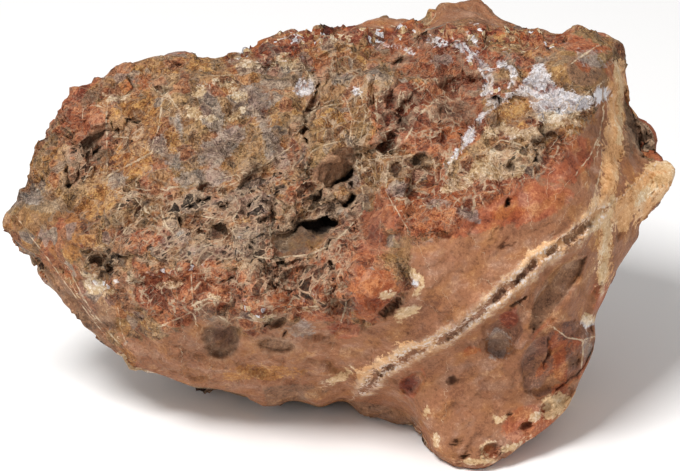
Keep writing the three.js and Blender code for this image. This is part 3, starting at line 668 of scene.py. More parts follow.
# %% A field for each mineral
def drift(size, seed, share):
    """A field for the hidden side in which about the given share is covered."""
    value = 0.7 * noise(rest, size, seed) + 0.3 * noise(rest, size / 3, seed + 1)
    return (value - np.quantile(value, 1 - share)) * size / 3


MINERALS = {
    "olive": field([
        (208, 68, 20, 12, 0), (98, 262, 18, 14, -20), (397, 171, 11, 11, 0), (420, 162, 14, 9, 0),
        (330, 128, 18, 15, 20), (150, 215, 45, 12, 10), (40, 212, 34, 18, 30), (392, 64, 12, 14, 0),
        (370, 150, 14, 36, 10), (245, 150, 40, 18, 28), (530, 148, 34, 14, 10), (398, 262, 12, 26, -10),
        [(545, 50), (575, 28), (612, 40), (622, 60), (614, 96), (585, 106), (560, 92), (546, 76)],
        [(275, 232), (294, 228), (326, 228), (322, 238), (304, 250), (284, 256), (274, 254)],
        [(318, 178), (336, 176), (352, 190), (350, 206), (336, 216), (312, 220), (298, 212)],
        [(316, 300), (344, 272), (350, 312), (322, 312)], (332, 92, 12, 22, 0), (215, 285, 18, 12, 0),
    ], drift(24, 81, 0.28)),
    "ochre": field([
        (134, 122, 24, 24, 70), (132, 158, 18, 20, 20), (106, 196, 20, 12, 45), (90, 208, 7, 16, -10),
        (74, 244, 8, 18, -20), (343, 192, 7, 9, 60), (511, 110, 24, 15, 14), (262, 374, 40, 8, 3),
        (172, 140, 7, 14, 0), (312, 246, 12, 6, 0), (570, 128, 22, 10, 30), (545, 150, 16, 8, 20),
        (337, 300, 12, 10, 0), ([(616, 78), (618, 130), (610, 190)], 7), (604, 240, 8, 34, 6),
        (655, 190, 26, 14, -24), (330, 120, 14, 8, 0), (398, 52, 8, 6, 0), (380, 120, 8, 30, 0),
        (200, 66, 12, 7, 0), (412, 96, 8, 18, -30),
    ], drift(18, 83, 0.16)),
    "rust": field([
        [(132, 262), (165, 270), (200, 258), (240, 272), (300, 262), (345, 246), (366, 210), (380, 214),
         (388, 250), (352, 290), (352, 326), (300, 318), (262, 322), (230, 304), (200, 318), (165, 330),
         (138, 300)], (76, 108, 20, 52, 38), (392, 212, 14, 24, 38), (566, 160, 30, 20, 35),
        (430, 118, 60, 36, 0), (440, 60, 60, 22, -6), (300, 190, 20, 8, 30), (540, 205, 34, 14, 30),
        (345, 330, 14, 10, 0), (412, 384, 14, 10, 50), (560, 352, 26, 34, 30), (575, 44, 34, 8, -14),
        (470, 205, 80, 28, 12), (604, 300, 12, 22, 20), (530, 425, 26, 20, 20), (352, 252, 26, 18, 20),
        (320, 312, 24, 8, 0), (142, 240, 18, 10, 20),
    ], drift(20, 85, 0.3)),
    "crimson": field([
        (400, 110, 26, 26, 0), (388, 141, 16, 10, 8), (465, 84, 27, 9, 6), (150, 290, 16, 15, 0),
        (262, 53, 9, 10, 20), (290, 50, 8, 9, 0), (511, 318, 12, 8, 50), (497, 98, 8, 5, 0),
        (502, 82, 6, 7, 0), (372, 304, 16, 9, 0), (337, 325, 12, 6, 10), (412, 384, 9, 6, 50),
        ([(380, 34), (420, 42), (460, 50), (500, 58)], 5), ([(454, 62), (476, 66), (484, 74)], 5),
        (530, 66, 18, 8, -30), (560, 368, 6, 16, 10), (84, 88, 20, 5, 42),
    ], drift(14, 87, 0.07)),
    "orange": field([
        [(350, 284), (362, 268), (392, 272), (402, 288), (396, 304), (378, 322), (356, 320),
         (352, 300)], (278, 297, 16, 8, 8), (298, 276, 12, 6, 26), (214, 263, 13, 4, 0),
        (270, 252, 5, 12, 0), (432, 226, 16, 12, 0), (507, 207, 18, 13, 0), (437, 178, 12, 12, 0),
        (462, 128, 24, 9, 20), (556, 42, 16, 4, 32), (605, 49, 10, 3, -12), (140, 83, 14, 8, 8),
        (74, 152, 8, 4, 20), (452, 200, 16, 8, 0), (541, 372, 4, 10, -20), (576, 346, 4, 11, -30),
        (554, 346, 4, 12, -20), (398, 44, 26, 6, 8), (74, 170, 5, 12, -8), (86, 170, 5, 9, -20),
        (470, 350, 10, 5, 10), (560, 356, 7, 18, -20), (490, 452, 9, 8, 0), (232, 318, 6, 8, 0),
        (452, 152, 12, 8, 0), (267, 212, 6, 12, 0), (408, 206, 16, 8, 10), (544, 88, 8, 5, -20),
        (69, 273, 5, 6, 0), (543, 88, 9, 6, 30), (584, 66, 8, 4, -30), (610, 70, 7, 10, 0),
        (322, 66, 8, 14, 0), (560, 392, 8, 7, -40),
    ], drift(12, 89, 0.08)),
    "grey": field([
        (160, 146, 9, 9, -40), (174, 161, 9, 6, -30), (181, 126, 4, 13, 8), (115, 180, 10, 9, 30),
        (233, 134, 12, 9, 0), (215, 152, 22, 12, 34), (245, 190, 30, 5, 24), (176, 240, 12, 8, 0),
        (224, 252, 16, 6, 0), (276, 150, 8, 26, 24), (200, 178, 24, 8, 8), (262, 120, 6, 16, 20),
        (330, 212, 16, 8, 30), (400, 190, 9, 8, 0), (190, 205, 26, 9, 10), (250, 206, 24, 9, 20),
        (210, 254, 26, 8, 0), (437, 206, 11, 4, 0), (497, 345, 12, 14, 0), (588, 350, 5, 10, 0),
        (352, 180, 6, 6, 0), (255, 232, 18, 6, 20), (30, 196, 12, 6, -20), (300, 330, 14, 8, 0),
        (470, 214, 12, 6, -20), (250, 100, 20, 16, 30), (212, 110, 10, 22, 20), (342, 78, 9, 6, 0),
        (440, 62, 8, 6, 0), (592, 60, 14, 8, -20), (440, 60, 10, 6, 0),
    ], drift(13, 91, 0.1)),
    "umber": field([
        (334, 166, 26, 13, 40), (221, 338, 18, 20, 0), (327, 192, 18, 5, 36),
        [(586, 258), (580, 276), (566, 296), (548, 318), (532, 335), (529, 322), (535, 298), (548, 276),
         (566, 262)], [(40, 266), (60, 276), (88, 306), (100, 334), (120, 352), (104, 352), (60, 304)],
        [(84, 300), (116, 308), (116, 330), (96, 326)], (206, 310, 8, 10, 0),
        [(262, 388), (300, 384), (330, 390), (318, 398), (296, 402), (268, 408)],
        (380, 416, 42, 11, -12), (91, 141, 17, 5, 44), (75, 166, 6, 13, -18), (96, 318, 10, 14, -30),
        (226, 208, 9, 6, 10), (216, 232, 12, 5, 38), (276, 344, 20, 7, -8), (634, 118, 8, 42, -10),
        (648, 142, 12, 16, 0), (276, 320, 12, 4, 14), (250, 172, 10, 6, 40), (312, 226, 20, 5, 9),
        (92, 96, 14, 6, 40), (262, 94, 12, 9, -30), (320, 416, 24, 5, -10), (584, 70, 18, 16, -20),
    ], drift(16, 93, 0.14), steady),
    "cream": field([
        (94, 285, 17, 8, -34), (133, 279, 9, 4, 0), (388, 295, 8, 5, 0),
        ([(415, 272), (421, 282), (416, 296)], 3), (408, 312, 14, 7, 30), (664, 167, 14, 6, 0),
        ([(672, 172), (650, 190), (636, 206)], 5), (556, 411, 12, 6, 30), (429, 412, 2.5, 7, 0),
        (436, 440, 3, 6, 0), (590, 319, 6, 5, 0), (512, 446, 16, 4, 30), (480, 463, 18, 4, 0),
        (562, 402, 10, 6, 0), (552, 404, 12, 8, 20), (536, 416, 6, 3, 30),
        ([(483, 460), (482, 446), (494, 440)], 1.4), (200, 92, 8, 4, 20), (226, 84, 10, 4, -10),
        (238, 112, 8, 4, 30), (212, 118, 6, 4, 0), (196, 112, 8, 6, 0), (240, 96, 9, 6, 0),
        ([(612, 200), (606, 240), (600, 290)], 4), (288, 60, 10, 8, 0), (250, 64, 16, 5, -14),
        (497, 417, 6, 3, 20), (262, 316, 14, 4, -8), (318, 306, 16, 3, 14), (218, 299, 7, 3, -10),
        ([(486, 134), (500, 128), (524, 136), (548, 128), (576, 116)], 5), (165, 94, 9, 4, -40),
        (343, 40, 12, 4, 0), (500, 166, 30, 14, 8), (556, 120, 26, 5, -10),
        ([(616, 62), (620, 90), (620, 140)], 3), (170, 284, 8, 4, 0), (116, 98, 12, 3, -10),
        (600, 222, 16, 6, 40), (458, 184, 16, 6, 20), (338, 376, 14, 5, 30),
    ], drift(11, 95, 0.06)),
    "quartz": field([
        [(530, 68), (541, 62), (553, 82), (566, 92), (590, 98), (600, 88), (612, 90), (610, 98),
         (590, 108), (575, 113), (556, 123), (543, 125), (534, 113), (530, 98), (506, 99), (520, 90),
         (526, 80)], ([(452, 43), (462, 47), (480, 62), (491, 78), (488, 92)], 5),
        (92, 283, 12, 4, -30), ([(488, 92), (488, 108), (470, 134), (459, 149), (450, 160)], 3.2),
        ([(488, 108), (500, 98), (520, 93), (532, 90)], 2.6), ([(500, 64), (514, 70), (510, 84)], 2.6),
        (517, 138, 7, 3, 0), (356, 93, 4, 5, 0), (304, 86, 9, 9, 0), (437, 44, 8, 4, 0),
        (300, 40, 9, 4, 0), ([(398, 48), (410, 52)], 2), (415, 282, 3, 6, 0), (450, 126, 3, 2, 0),
        ([(470, 34), (478, 44)], 3), (590, 322, 6, 4, 0), (386, 46, 6, 3, 0), (252, 62, 8, 3, 0),
    ], drift(9, 97, 0.02)),
    "honey": field([
        ([(616, 70), (616, 120), (610, 170), (600, 215)], 9),
        ([(676, 166), (650, 188), (622, 214)], 16), ([(600, 215), (566, 240), (530, 262)], 7),
        ([(606, 230), (602, 280)], 6), ([(430, 344), (400, 352), (360, 376)], 5),
    ], drift(16, 99, 0.08)),
    "smooth": np.maximum.reduce([smooth_field, field(FAR_LUMPS), field([LOWER_BAND]) - 1]),
    "liver": field([
        [(524, 352), (540, 332), (560, 321), (592, 322), (596, 345), (578, 376), (556, 392), (538, 398),
         (524, 388), (520, 368)],
        [(494, 322), (508, 312), (520, 316), (523, 330), (519, 346), (508, 340), (500, 332),
         (486, 330)], (452, 111, 18, 8, 6), (226, 208, 8, 5, 10), (216, 232, 11, 4, 38),
        (223, 337, 10, 12, 0), (412, 384, 11, 6, 50), (300, 252, 10, 4, 20), (404, 122, 8, 5, 30),
        (206, 310, 8, 6, 0), (88, 306, 12, 8, -40), (466, 66, 14, 4, 8),
    ], drift(12, 101, 0.05), steady),
}
print("minerals:", ", ".join(f"{name} {np.mean(values > 0):.0%}" for name, values in MINERALS.items()))

# %% [markdown]
# The relief is handed on as well. Shade is painted into the pits and hollows, and the tops of the walls
# are rubbed pale, so the material needs to know how far below the open surface a point lies.


# %% Hand the fields to the mesh
def keep(name, values):
    """Stores one number for each vertex."""
    stone.data.attributes.new(name, "FLOAT", "POINT").data.foreach_set("value", values.astype(np.float32))


for name, values in MINERALS.items():
    keep(name, np.clip(values, -9, 9))
# painted shade for the hollows, and the narrow slots painted black as shadow
keep("shade", shade)
keep("painted_darkness", np.clip(near * painted_black_field + (1 - near) * HIDDEN, -9, 9))
keep("sunk_for_painted_shade", np.clip(-form, 0, 5) * near + sponge_depth)
keep("spongy", spongy)
keep("porous", porous)
keep("rim", rim * spongy)
keep("celled", np.maximum(celled, 0.5 * porous))
keep("block", block)
keep("crumbly", np.clip(crumbly, -9, 9))
keep("steep", red_band)
keep("block_hue", scatter(np.round(block * 9973)[:, None] * [1, 0, 0], 7))
keep("thread", np.clip(nearest_thread(steady), -3, 3))
keep("vein", np.clip(vein_across, -6, 6))
keep("opened", opened)
stone.data.shade_smooth()
print("fields on the mesh:", len(stone.data.attributes))

# %% [markdown]
# ## Adding nodes
# A material is a graph of nodes. One small function adds any node: its settings by name, and its
# inputs either as plain values or as another node's output, which it links.


# %% One function for all nodes
def add(tree, kind, inputs=None, **settings):
    node = tree.nodes.new("ShaderNode" + kind)
    for name, value in settings.items():
        setattr(node, name, value)
    for key, value in (inputs or {}).items():
        if isinstance(value, bpy.types.NodeSocket):
            tree.links.new(value, node.inputs[key])
        else:
            node.inputs[key].default_value = value
    return node.outputs


def linear(hex_colour):
    """A colour given as sRGB hex, as the linear numbers that the shaders use."""
    parts = [int(hex_colour[i : i + 2], 16) / 255 for i in (1, 3, 5)]
    return [v / 12.92 if v <= 0.04045 else ((v + 0.055) / 1.055) ** 2.4 for v in parts] + [1.0]


print("quartz white in linear light:", [round(v, 3) for v in linear("#E8E2DA")])

# %% [markdown]
# ## Silicified breccia, weathered
# The rock is jasper and iron-stained chalcedony, which is quartz: IOR 1.54, no metal, and a dull
# break with roughness near 0.7. The eye reads it by its many small colours. So the base is a brown
# mottled from 9 mm down to 0.35 mm, and broken fragments of 3.3 mm, each in a tone of its own, lie
# in it. Each mineral covers that where its field is above zero, and noise added to the field first
# makes every edge ragged. The quartz grains of the real rock are finer than 0.1 mm, which is less
# than a pixel, so its grain is drawn 0.55 and 1.1 mm wide to show at all.

# %% Colours of the minerals
COLOURS = {
    # name: (dark, middle and light tone)
    "brown": ("#533A2A", "#8D6A48", "#C49D73"),
    "smooth": ("#7D5139", "#966548", "#AE7A5A"),
    "olive": ("#4A3922", "#7E613B", "#A98659"),
    "ochre": ("#774824", "#A86F38", "#CD9C5A"),
    "rust": ("#6A2F1F", "#9A5236", "#C07A52"),
    "crimson": ("#4A1D15", "#7A3423", "#A75E41"),
    "orange": ("#6E2E18", "#944926", "#B86D41"),
    "grey": ("#5A5653", "#86817C", "#B0ABA5"),
    "umber": ("#533C2F", "#88644C", "#B18968"),
    "liver": ("#4A332B", "#785240", "#A37358"),
    "honey": ("#B07B48", "#DBA775", "#F3CD9F"),
    "cream": ("#B08C5E", "#D6B78C", "#F0E0C4"),
    "quartz": ("#AEABAF", "#DEDBDE", "#FAFAFD"),
}
# How much of the surface under it each mineral hides, and how ragged its edge is in mm
COVERS = {
    "smooth": (0.9, 1.6), "olive": (0.6, 2.2), "ochre": (0.7, 2.0), "rust": (0.85, 1.8),
    "umber": (0.85, 0.4), "liver": (0.85, 0.5), "crimson": (0.85, 1.4), "honey": (0.9, 2.4),
    "orange": (0.75, 1.6), "grey": (0.6, 2.0), "quartz": (0.95, 1.4), "cream": (0.75, 1.6),
}
FRAGMENTS = ("grey", "ochre", "rust", "olive", "crimson")
FRAGMENT_SIZE = 3.3  # mm
FRAGMENT_HIDES = 0.5
FRAGMENT_SHARE = 0.14  # of all fragments, for each of these minerals
CLOUD = 9.0  # mm across, like the next sizes
EDGE_CLOUD = 4.0
PATCH = 2.8
SPOT = 2.5
FLECK = 0.9
DUST = 0.35
STREAK = 3.4  # mm across and STRETCH times as long, like the next one
WARM_STREAK = 4.5
GRAIN = 0.55
COARSE_GRAIN = 1.1
PORE_SIZES = ((2.0, 0.2), (0.95, 0.34))  # mm, and the share of the cells that are open
WALL_CORE = 0.06  # mm from the middle of a wall, where it is palest
WALL_EDGE = 0.18
PORE_EDGE = 0.11
BUMP_RANGE = 0.0013  # m
# A crumb is of the mineral in whose range its random number lies, and of the ground elsewhere
CRUMB_MINERALS = {"crimson": (0.0, 0.32), "cream": (0.34, 0.41), "orange": (0.5, 0.66), "quartz": (0.7, 0.75)}
STEEP_SLANT = math.radians(68)  # in the red band the slots stand steeper
TURN_ABOUT = (-11.0, -60.0, 38.0)  # mm, the middle of the red band
# painted shadow for pores and slots, and painted shade for hollows
PAINTED_PIT_SHADOW = linear("#17110D")
PAINTED_HOLLOW_SHADE = linear("#3E3129")
DISH_TINT = linear("#A98878")
WALL_PALE = linear("#C2A588")
THREAD_PALE = linear("#D6BE9F")
LIP_PALE = linear("#D3B08C")
CRYSTAL_PALE = linear("#DCD3CC")
GAP_DARK = linear("#64473A")

# %% Start the material
breccia = bpy.data.materials.new("silicified_breccia_weathered")
breccia.use_nodes = True
tree = breccia.node_tree
tree.nodes.clear()
where = add(tree, "TexCoord")["Object"]
millimetres = add(tree, "VectorMath", {0: where, "Scale": 1000.0}, operation="SCALE")["Vector"]
runs = []
for angle in (SLANT, STEEP_SLANT):
    turn = {"Vector": millimetres, "Location": TURN_ABOUT, "Rotation": (0.0, -angle, 0.0)}
    turn["Scale"] = (STRETCH, 1.0, 1.0)
    runs.append(add(tree, "Mapping", turn, vector_type="TEXTURE")["Vector"])
steep = add(tree, "Attribute", attribute_name="steep")["Fac"]
slanted = add(tree, "Mix", {0: steep, 4: runs[0], 5: runs[1]}, data_type="VECTOR")[1]
print("slants in the rock:", [round(math.degrees(angle)) for angle in (SLANT, STEEP_SLANT)], "degrees")

# %% [markdown]
# ## Words for patterns
# A pattern is a chain of nodes, and the same few links come back all the time. A function for each
# of those links lets the cells below say what the rock looks like, instead of how nodes are wired.


# %% Arithmetic and blending
def calculate(operation, *values):
    return add(tree, "Math", dict(enumerate(values)), operation=operation)["Value"]


def product(*values):
    total = values[0]
    for value in values[1:]:
        total = calculate("MULTIPLY", total, value)
    return total


def step(value, low, high, bottom=0.0, top=1.0):
    inputs = {"Value": value, "From Min": low, "From Max": high, "To Min": bottom, "To Max": top}
    return add(tree, "MapRange", inputs, interpolation_type="SMOOTHSTEP")["Result"]


def between(value, low, high, width):
    """One where the value lies between low and high, else zero."""
    return product(step(value, low, low + width), step(value, high - width, high, 1.0, 0.0))


def blend(share, below, above):
    return add(tree, "Mix", {0: share, 6: below, 7: above}, data_type="RGBA")[2]


def attribute(name):
    return add(tree, "Attribute", attribute_name=name)["Fac"]


def three_tone(name, value):
    """The mineral's dark, middle and light tones along a value from 0 to 1."""
    dark, middle, light = (linear(tone) for tone in COLOURS[name])
    lower = blend(step(value, 0.25, 0.5), dark, middle)
    return blend(step(value, 0.5, 0.75), lower, light)


def sum_of(parts):
    total = 0.5
    for value, share in parts:
        total = calculate("MULTIPLY_ADD", calculate("SUBTRACT", value, 0.5), share, total)
    return total


# %% Noises, cells and grains
def mottle(size, detail, offset, at=millimetres):
    """Noise from 0 to 1 with lumps of about size mm. The offset makes each one different."""
    shifted = add(tree, "VectorMath", {0: at, 1: (offset, -offset, 2 * offset)})["Vector"]
    return add(tree, "TexNoise", {"Vector": shifted, "Scale": 1 / size, "Detail": detail})["Fac"]


def warped(at, size, reach, offset):
    """A place bent by slow noise, so that a pattern of cells doesn't look like a grid."""
    shifted = add(tree, "VectorMath", {0: millimetres, 1: (offset, 3.0, 1.0)})["Vector"]
    bend = add(tree, "TexNoise", {"Vector": shifted, "Scale": 1 / size, "Detail": 1.0})["Color"]
    return add(tree, "VectorMath", {0: bend, 1: (reach,) * 3, 2: at}, operation="MULTIPLY_ADD")["Vector"]


def cells(at, size, feature="F1"):
    return add(tree, "TexVoronoi", {"Vector": at, "Scale": 1 / size}, feature=feature)


def speckle(size, offset):
    """A number for each angular grain of about size mm."""
    shifted = add(tree, "VectorMath", {0: grain_place, 1: (offset, offset, -offset)})["Vector"]
    return add(tree, "SeparateColor", {0: cells(shifted, size)["Color"]})["Red"]


# %% [markdown]
# ## Mottle and grain
# Iron stains a rock in clouds, and its grains break the clouds up. Noise at four sizes makes the
# clouds and two sizes of angular grains lie over them. A calm tone serves the smooth breaks and a
# rough one the sponge. The same noises make every edge between two minerals ragged.

# %% Clouds and grains
grain_place = warped(millimetres, 1.0, 0.5, 57.0)
slow = mottle(CLOUD, 2.0, 3.0)
middling = mottle(SPOT, 3.0, 17.0)
fine = mottle(FLECK, 2.0, 29.0)
grains = speckle(GRAIN, 61.0)
coarse_grains = speckle(COARSE_GRAIN, 67.0)
streaks = mottle(STREAK, 3.0, 71.0, at=slanted)
edge_noise = sum_of([(mottle(EDGE_CLOUD, 3.0, 41.0), 1.0), (fine, 0.4), (coarse_grains, 0.2), (grains, 0.14)])
ragged_edge = calculate("SUBTRACT", edge_noise, 0.5)

sponge, holed = attribute("spongy"), attribute("porous")
bent_place = warped(slanted, 3.5, 0.9, 7.0)
fragment_place = warped(millimetres, 3.0, 1.0, 13.0)
fragment_cells = cells(fragment_place, FRAGMENT_SIZE)
fragments = add(tree, "SeparateColor", {0: fragment_cells["Color"]})
tiny = mottle(DUST, 1.0, 95.0)
rough_parts = [(slow, 0.3), (middling, 0.45), (fine, 0.5), (tiny, 0.7), (grains, 0.3)]
rough_parts += [(coarse_grains, 0.24), (fragments["Red"], 0.24), (attribute("block"), 0.15)]
calm_parts = [(slow, 0.5), (streaks, 0.5), (middling, 0.4), (fine, 0.4), (tiny, 0.4), (grains, 0.14)]
calm_tone = sum_of(calm_parts)
rough_tone = add(tree, "Mix", {0: sponge, 2: calm_tone, 3: sum_of(rough_parts)})[0]
print("nodes for the tones:", len(tree.nodes))

# %% [markdown]
# ## Fragments and minerals
# A breccia is made of broken pieces, so some blocks and fragments get the tones of another mineral
# over the brown ground. The minerals with a place of their own come next, from the widest stain to
# the thinnest crust. On a smooth break, faint streaks of grey and ochre follow the slant.

# %% The coloured ground
patchy = mottle(PATCH, 2.0, 83.0)
colour = three_tone("brown", rough_tone)
for pick in (attribute("block_hue"), fragments["Green"]):
    for turn, name in enumerate(FRAGMENTS):
        low = turn * FRAGMENT_SHARE
        high = low + FRAGMENT_SHARE
        chosen = between(pick, low, high, 0.02)
        colour = blend(product(chosen, FRAGMENT_HIDES), colour, three_tone(name, rough_tone))
for name, (hides, raggedness) in COVERS.items():
    inside = calculate("MULTIPLY_ADD", ragged_edge, 2 * raggedness, attribute(name))
    share = product(step(inside, -0.35, 0.35), hides)
    if name == "quartz":
        share = product(share, step(patchy, 0.36, 0.46, 0.25, 1.0))
    tone = calm_tone if name in ("smooth", "umber") else rough_tone
    colour = blend(share, colour, three_tone(name, tone))

is_smooth = step(attribute("smooth"), -0.5, 1.5)
colour = blend(product(step(streaks, 0.5, 0.66), is_smooth, 0.15), colour, three_tone("grey", calm_tone))
warm = step(mottle(WARM_STREAK, 2.0, 79.0, at=slanted), 0.5, 0.66)
colour = blend(product(warm, is_smooth, 0.3), colour, three_tone("ochre", calm_tone))
print("nodes with the minerals:", len(tree.nodes))

# %% [markdown]
# ## Walls and pores
# Where the rock is celled, each fragment is a shallow dish, darker than the thin pale wall round it.
# Where it is porous, two sizes of slanted cells follow: some are open, with painted shadow that
# blackens them further down, and the walls between them are rubbed pale.

# %% Dishes with pale walls
fragment_edge = cells(fragment_place, FRAGMENT_SIZE, "DISTANCE_TO_EDGE")["Distance"]
walled = attribute("celled")
dished = product(step(fragment_edge, 0.04, 0.24), walled, step(fragments["Blue"], 0.3, 0.8, 0.0, 0.8))
tinted = {0: dished, 6: colour, 7: DISH_TINT}
colour = add(tree, "Mix", tinted, data_type="RGBA", blend_type="MULTIPLY")[2]
walled_share = product(walled, step(patchy, 0.36, 0.52, 0.15, 0.9))
rim_share = calculate("MAXIMUM", product(sponge, 0.3), walled_share)
rim_edge = calculate("MULTIPLY_ADD", ragged_edge, 0.3, fragment_edge)
colour = blend(product(step(rim_edge, 0.015, 0.06, 1.0, 0.0), rim_share), colour, WALL_PALE)

# %% Open pores and their net
net_mask = step(patchy, 0.4, 0.55, 0.2, 1.0)
net, pore = 0.0, 0.0
for size, share_open in PORE_SIZES:
    edge = cells(bent_place, size, "DISTANCE_TO_EDGE")["Distance"]
    line = product(step(edge, WALL_CORE / size, WALL_EDGE / size, 1.0, 0.0), net_mask)
    chance = add(tree, "SeparateColor", {0: cells(bent_place, size)["Color"]})
    is_open = step(chance["Blue"], share_open - 0.01, share_open, 1.0, 0.0)
    opening = step(edge, PORE_EDGE / size, WALL_EDGE / size)
    depth = product(opening, is_open, step(chance["Red"], 0.0, 1.0, 0.5, 1.0))
    net = calculate("MAXIMUM", net, product(line, size / 2.0))
    pore = calculate("MAXIMUM", pore, depth)
    tone_of_cell = step(chance["Green"], 0.0, 1.0)
    dark_floor = product(holed, step(tone_of_cell, 0.6, 1.0, 0.0, 0.3))
    colour = blend(dark_floor, colour, three_tone("umber", rough_tone))
    rusty_floor = product(holed, step(tone_of_cell, 0.0, 0.35, 0.3, 0.0))
    colour = blend(rusty_floor, colour, three_tone("orange", rough_tone))
web_line = product(net, calculate("MAXIMUM", holed, product(sponge, 0.2)))
# where the open pores get their painted shadow
hole = product(pore, step(holed, 0.4, 0.9))
print("nodes with the pores:", len(tree.nodes))

# %% [markdown]
# ## Crumbs, rubbed rims and painted shade
# The crest and a few seams are crumbly, and each crumb is a mineral of its own. After the crumbs
# come the rubbed rims, which are pale, and painted shade: the sunken sponge and the hollows are darkened, and
# open pores and deep slots are painted black as shadow.

# %% Crumbs
in_crumbs = step(calculate("MULTIPLY_ADD", ragged_edge, 3.0, attribute("crumbly")), -0.5, 1.5)
for name, (low, high) in CRUMB_MINERALS.items():
    chosen = product(between(coarse_grains, low, high, 0.01), in_crumbs)
    colour = blend(product(chosen, 0.9), colour, three_tone(name, rough_tone))

# %% Rims and painted shade
colour = blend(product(attribute("rim"), 0.4), colour, WALL_PALE)
colour = blend(product(web_line, 0.75), colour, WALL_PALE)
# painted shade: the sunken sponge gets darker with its depth
colour = blend(product(step(attribute("sunk_for_painted_shade"), 0.4, 3.0, 0.0, 0.3), sponge), colour, PAINTED_HOLLOW_SHADE)
# painted shadow: open pores are painted near black
colour = blend(product(hole, step(fine, 0.4, 0.6, 0.95, 0.75)), colour, PAINTED_PIT_SHADOW)
# painted shade in the hollows
colour = blend(product(attribute("shade"), 0.8), colour, PAINTED_HOLLOW_SHADE)
# painted shadow: the narrow slots are painted black
black = step(calculate("MULTIPLY_ADD", ragged_edge, 0.8, attribute("painted_darkness")), -0.1, 0.3)
colour = blend(product(black, 0.9), colour, PAINTED_PIT_SHADOW)

# %% [markdown]
# ## Threads and the vein
# A thread of quartz is a pale line that fades in places. The vein's lips are pale too, with brighter
# crystals in them, and the gap between the lips is dark where it is open and earthy where it isn't.

# %% Threads
thread = calculate("ABSOLUTE", attribute("thread"))
thread_line = step(calculate("MULTIPLY_ADD", ragged_edge, 0.6, thread), 0.08, 0.26, 1.0, 0.0)
thread_line = product(thread_line, step(patchy, 0.38, 0.56, 0.1, 0.8))
colour = blend(thread_line, colour, THREAD_PALE)

# %% The vein
vein = calculate("ABSOLUTE", attribute("vein"))
teeth = calculate("MULTIPLY_ADD", calculate("SUBTRACT", grains, 0.5), 0.8, vein)
vein_ragged = calculate("MULTIPLY_ADD", ragged_edge, 1.6, teeth)
lip = product(step(vein_ragged, 0.3, 1.0), step(vein_ragged, 1.4, 3.0, 1.0, 0.0))
lip = product(lip, step(patchy, 0.36, 0.62, 0.25, 0.9))
crystal = product(lip, step(grains, 0.5, 0.52), step(fine, 0.42, 0.5))
colour = blend(lip, colour, LIP_PALE)
colour = blend(product(crystal, 0.85), colour, CRYSTAL_PALE)
gap = product(step(vein_ragged, 0.4, 1.1, 1.0, 0.0), step(attribute("opened"), 0.3, 0.7, 0.3, 0.75))
gap_earth = blend(step(fine, 0.46, 0.58), GAP_DARK, three_tone("umber", rough_tone))
colour = blend(gap, colour, gap_earth)

# %% [markdown]
# ## Fine relief and gloss
# The noises and grains are a real roughness of the rock as well, too fine for the mesh, so they go
# into a bump, 1.3 mm for the full range. A smooth break keeps less of it and is a little glossier.

# %% Bump and surface
height = sum_of([(middling, 0.5), (fine, 0.7), (grains, 0.12), (coarse_grains, 0.12), (tiny, 0.4)])
height = calculate("MULTIPLY_ADD", product(fragment_cells["Distance"], walled), 0.7, height)
strength = step(sponge, 0.0, 1.0, 0.3, 1.0)
bump = add(tree, "Bump", {"Strength": strength, "Distance": BUMP_RANGE, "Height": height})["Normal"]

roughness = calculate("MULTIPLY_ADD", middling, 0.3, step(sponge, 0.0, 1.0, 0.45, 0.62))
surface = {"Base Color": colour, "Roughness": roughness, "IOR": 1.54, "Metallic": 0.0, "Normal": bump}
surface["Specular IOR Level"] = 0.15  # dust and pores scatter most of the reflection
add(tree, "OutputMaterial", {"Surface": add(tree, "BsdfPrincipled", surface)["BSDF"]})
stone.data.materials.append(breccia)
print("material nodes:", len(stone.data.materials[0].node_tree.nodes))

# %% [markdown]
# ## Hand the skin over to the part
# The skin stands in for the solid, which stays behind for weight and contact.

# %% Ride and replace
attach(stone, "root")
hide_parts("rock")

# %% [markdown]
# ## Stage, light and camera
# The photograph is a packshot: white all round, with soft light from above and no hard shadow. A
# white world gives the even light, and a wide lamp overhead models the relief. The floor is a large
# pale plane, so that it doesn't end inside the picture.

# %% Floor
FLOOR_HALF = 3.0  # m


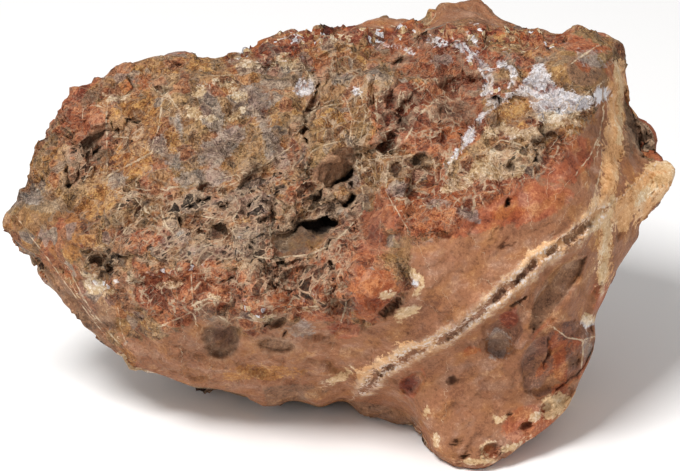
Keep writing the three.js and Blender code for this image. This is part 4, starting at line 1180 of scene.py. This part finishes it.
def make_floor():
    mesh = bpy.data.meshes.new("floor")
    corners = [(-FLOOR_HALF, -FLOOR_HALF, 0), (FLOOR_HALF, -FLOOR_HALF, 0),
               (FLOOR_HALF, FLOOR_HALF, 0), (-FLOOR_HALF, FLOOR_HALF, 0)]
    mesh.from_pydata(corners, [], [(0, 1, 2, 3)])
    floor = bpy.data.objects.new("floor", mesh)
    bpy.context.scene.collection.objects.link(floor)
    material = bpy.data.materials.new("matt_white_paper")
    material.use_nodes = True
    shader = material.node_tree.nodes["Principled BSDF"]
    shader.inputs["Base Color"].default_value = linear("#FBFAF9")
    shader.inputs["Roughness"].default_value = 0.9
    mesh.materials.append(material)


make_floor()

# %% Lights
LAMPS = {
    # name: (place in m, side in m, watts)
    "key": ((-0.35, -0.45, 1.0), 0.35, 11.6),
    "front left": ((-0.9, -0.7, 0.4), 0.6, 1.6),
    "front right": ((0.9, -0.8, 0.4), 0.8, 1.2),
}
WORLD_STRENGTH = 0.45


def aim(obj, place, target):
    """Puts the object at a place and turns its -Z to the target, both in m."""
    obj.location = place
    direction = target - obj.location
    obj.rotation_euler = direction.to_track_quat("-Z", "Y").to_euler()


middle = bpy.data.objects.new("middle", None)
middle.location = VIEW_MIDDLE / 1000
for name, (spot, side, watts) in LAMPS.items():
    lamp = bpy.data.lights.new(name, "AREA")
    lamp.size = side
    lamp.energy = watts
    holder = bpy.data.objects.new(name, lamp)
    bpy.context.scene.collection.objects.link(holder)
    aim(holder, spot, middle.location)

world = bpy.data.worlds.new("white_room")
world.use_nodes = True
world.node_tree.nodes["Background"].inputs["Color"].default_value = (1.0, 1.0, 1.0, 1.0)
world.node_tree.nodes["Background"].inputs["Strength"].default_value = WORLD_STRENGTH
bpy.context.scene.world = world
bpy.context.scene.view_settings.view_transform = "Standard"

# %% Camera
SENSOR = 36.0  # mm
camera = bpy.data.cameras.new("camera")
camera.sensor_width = SENSOR
camera.lens = SENSOR * VIEW_DISTANCE / (IMAGE_WIDTH * PIXEL)
camera_holder = bpy.data.objects.new("camera", camera)
bpy.context.scene.collection.objects.link(camera_holder)
aim(camera_holder, (VIEW_MIDDLE + VIEW_DISTANCE * TOWARDS_EYE) / 1000, middle.location)
bpy.context.scene.camera = camera_holder
print("lens", round(camera.lens, 1), "mm")
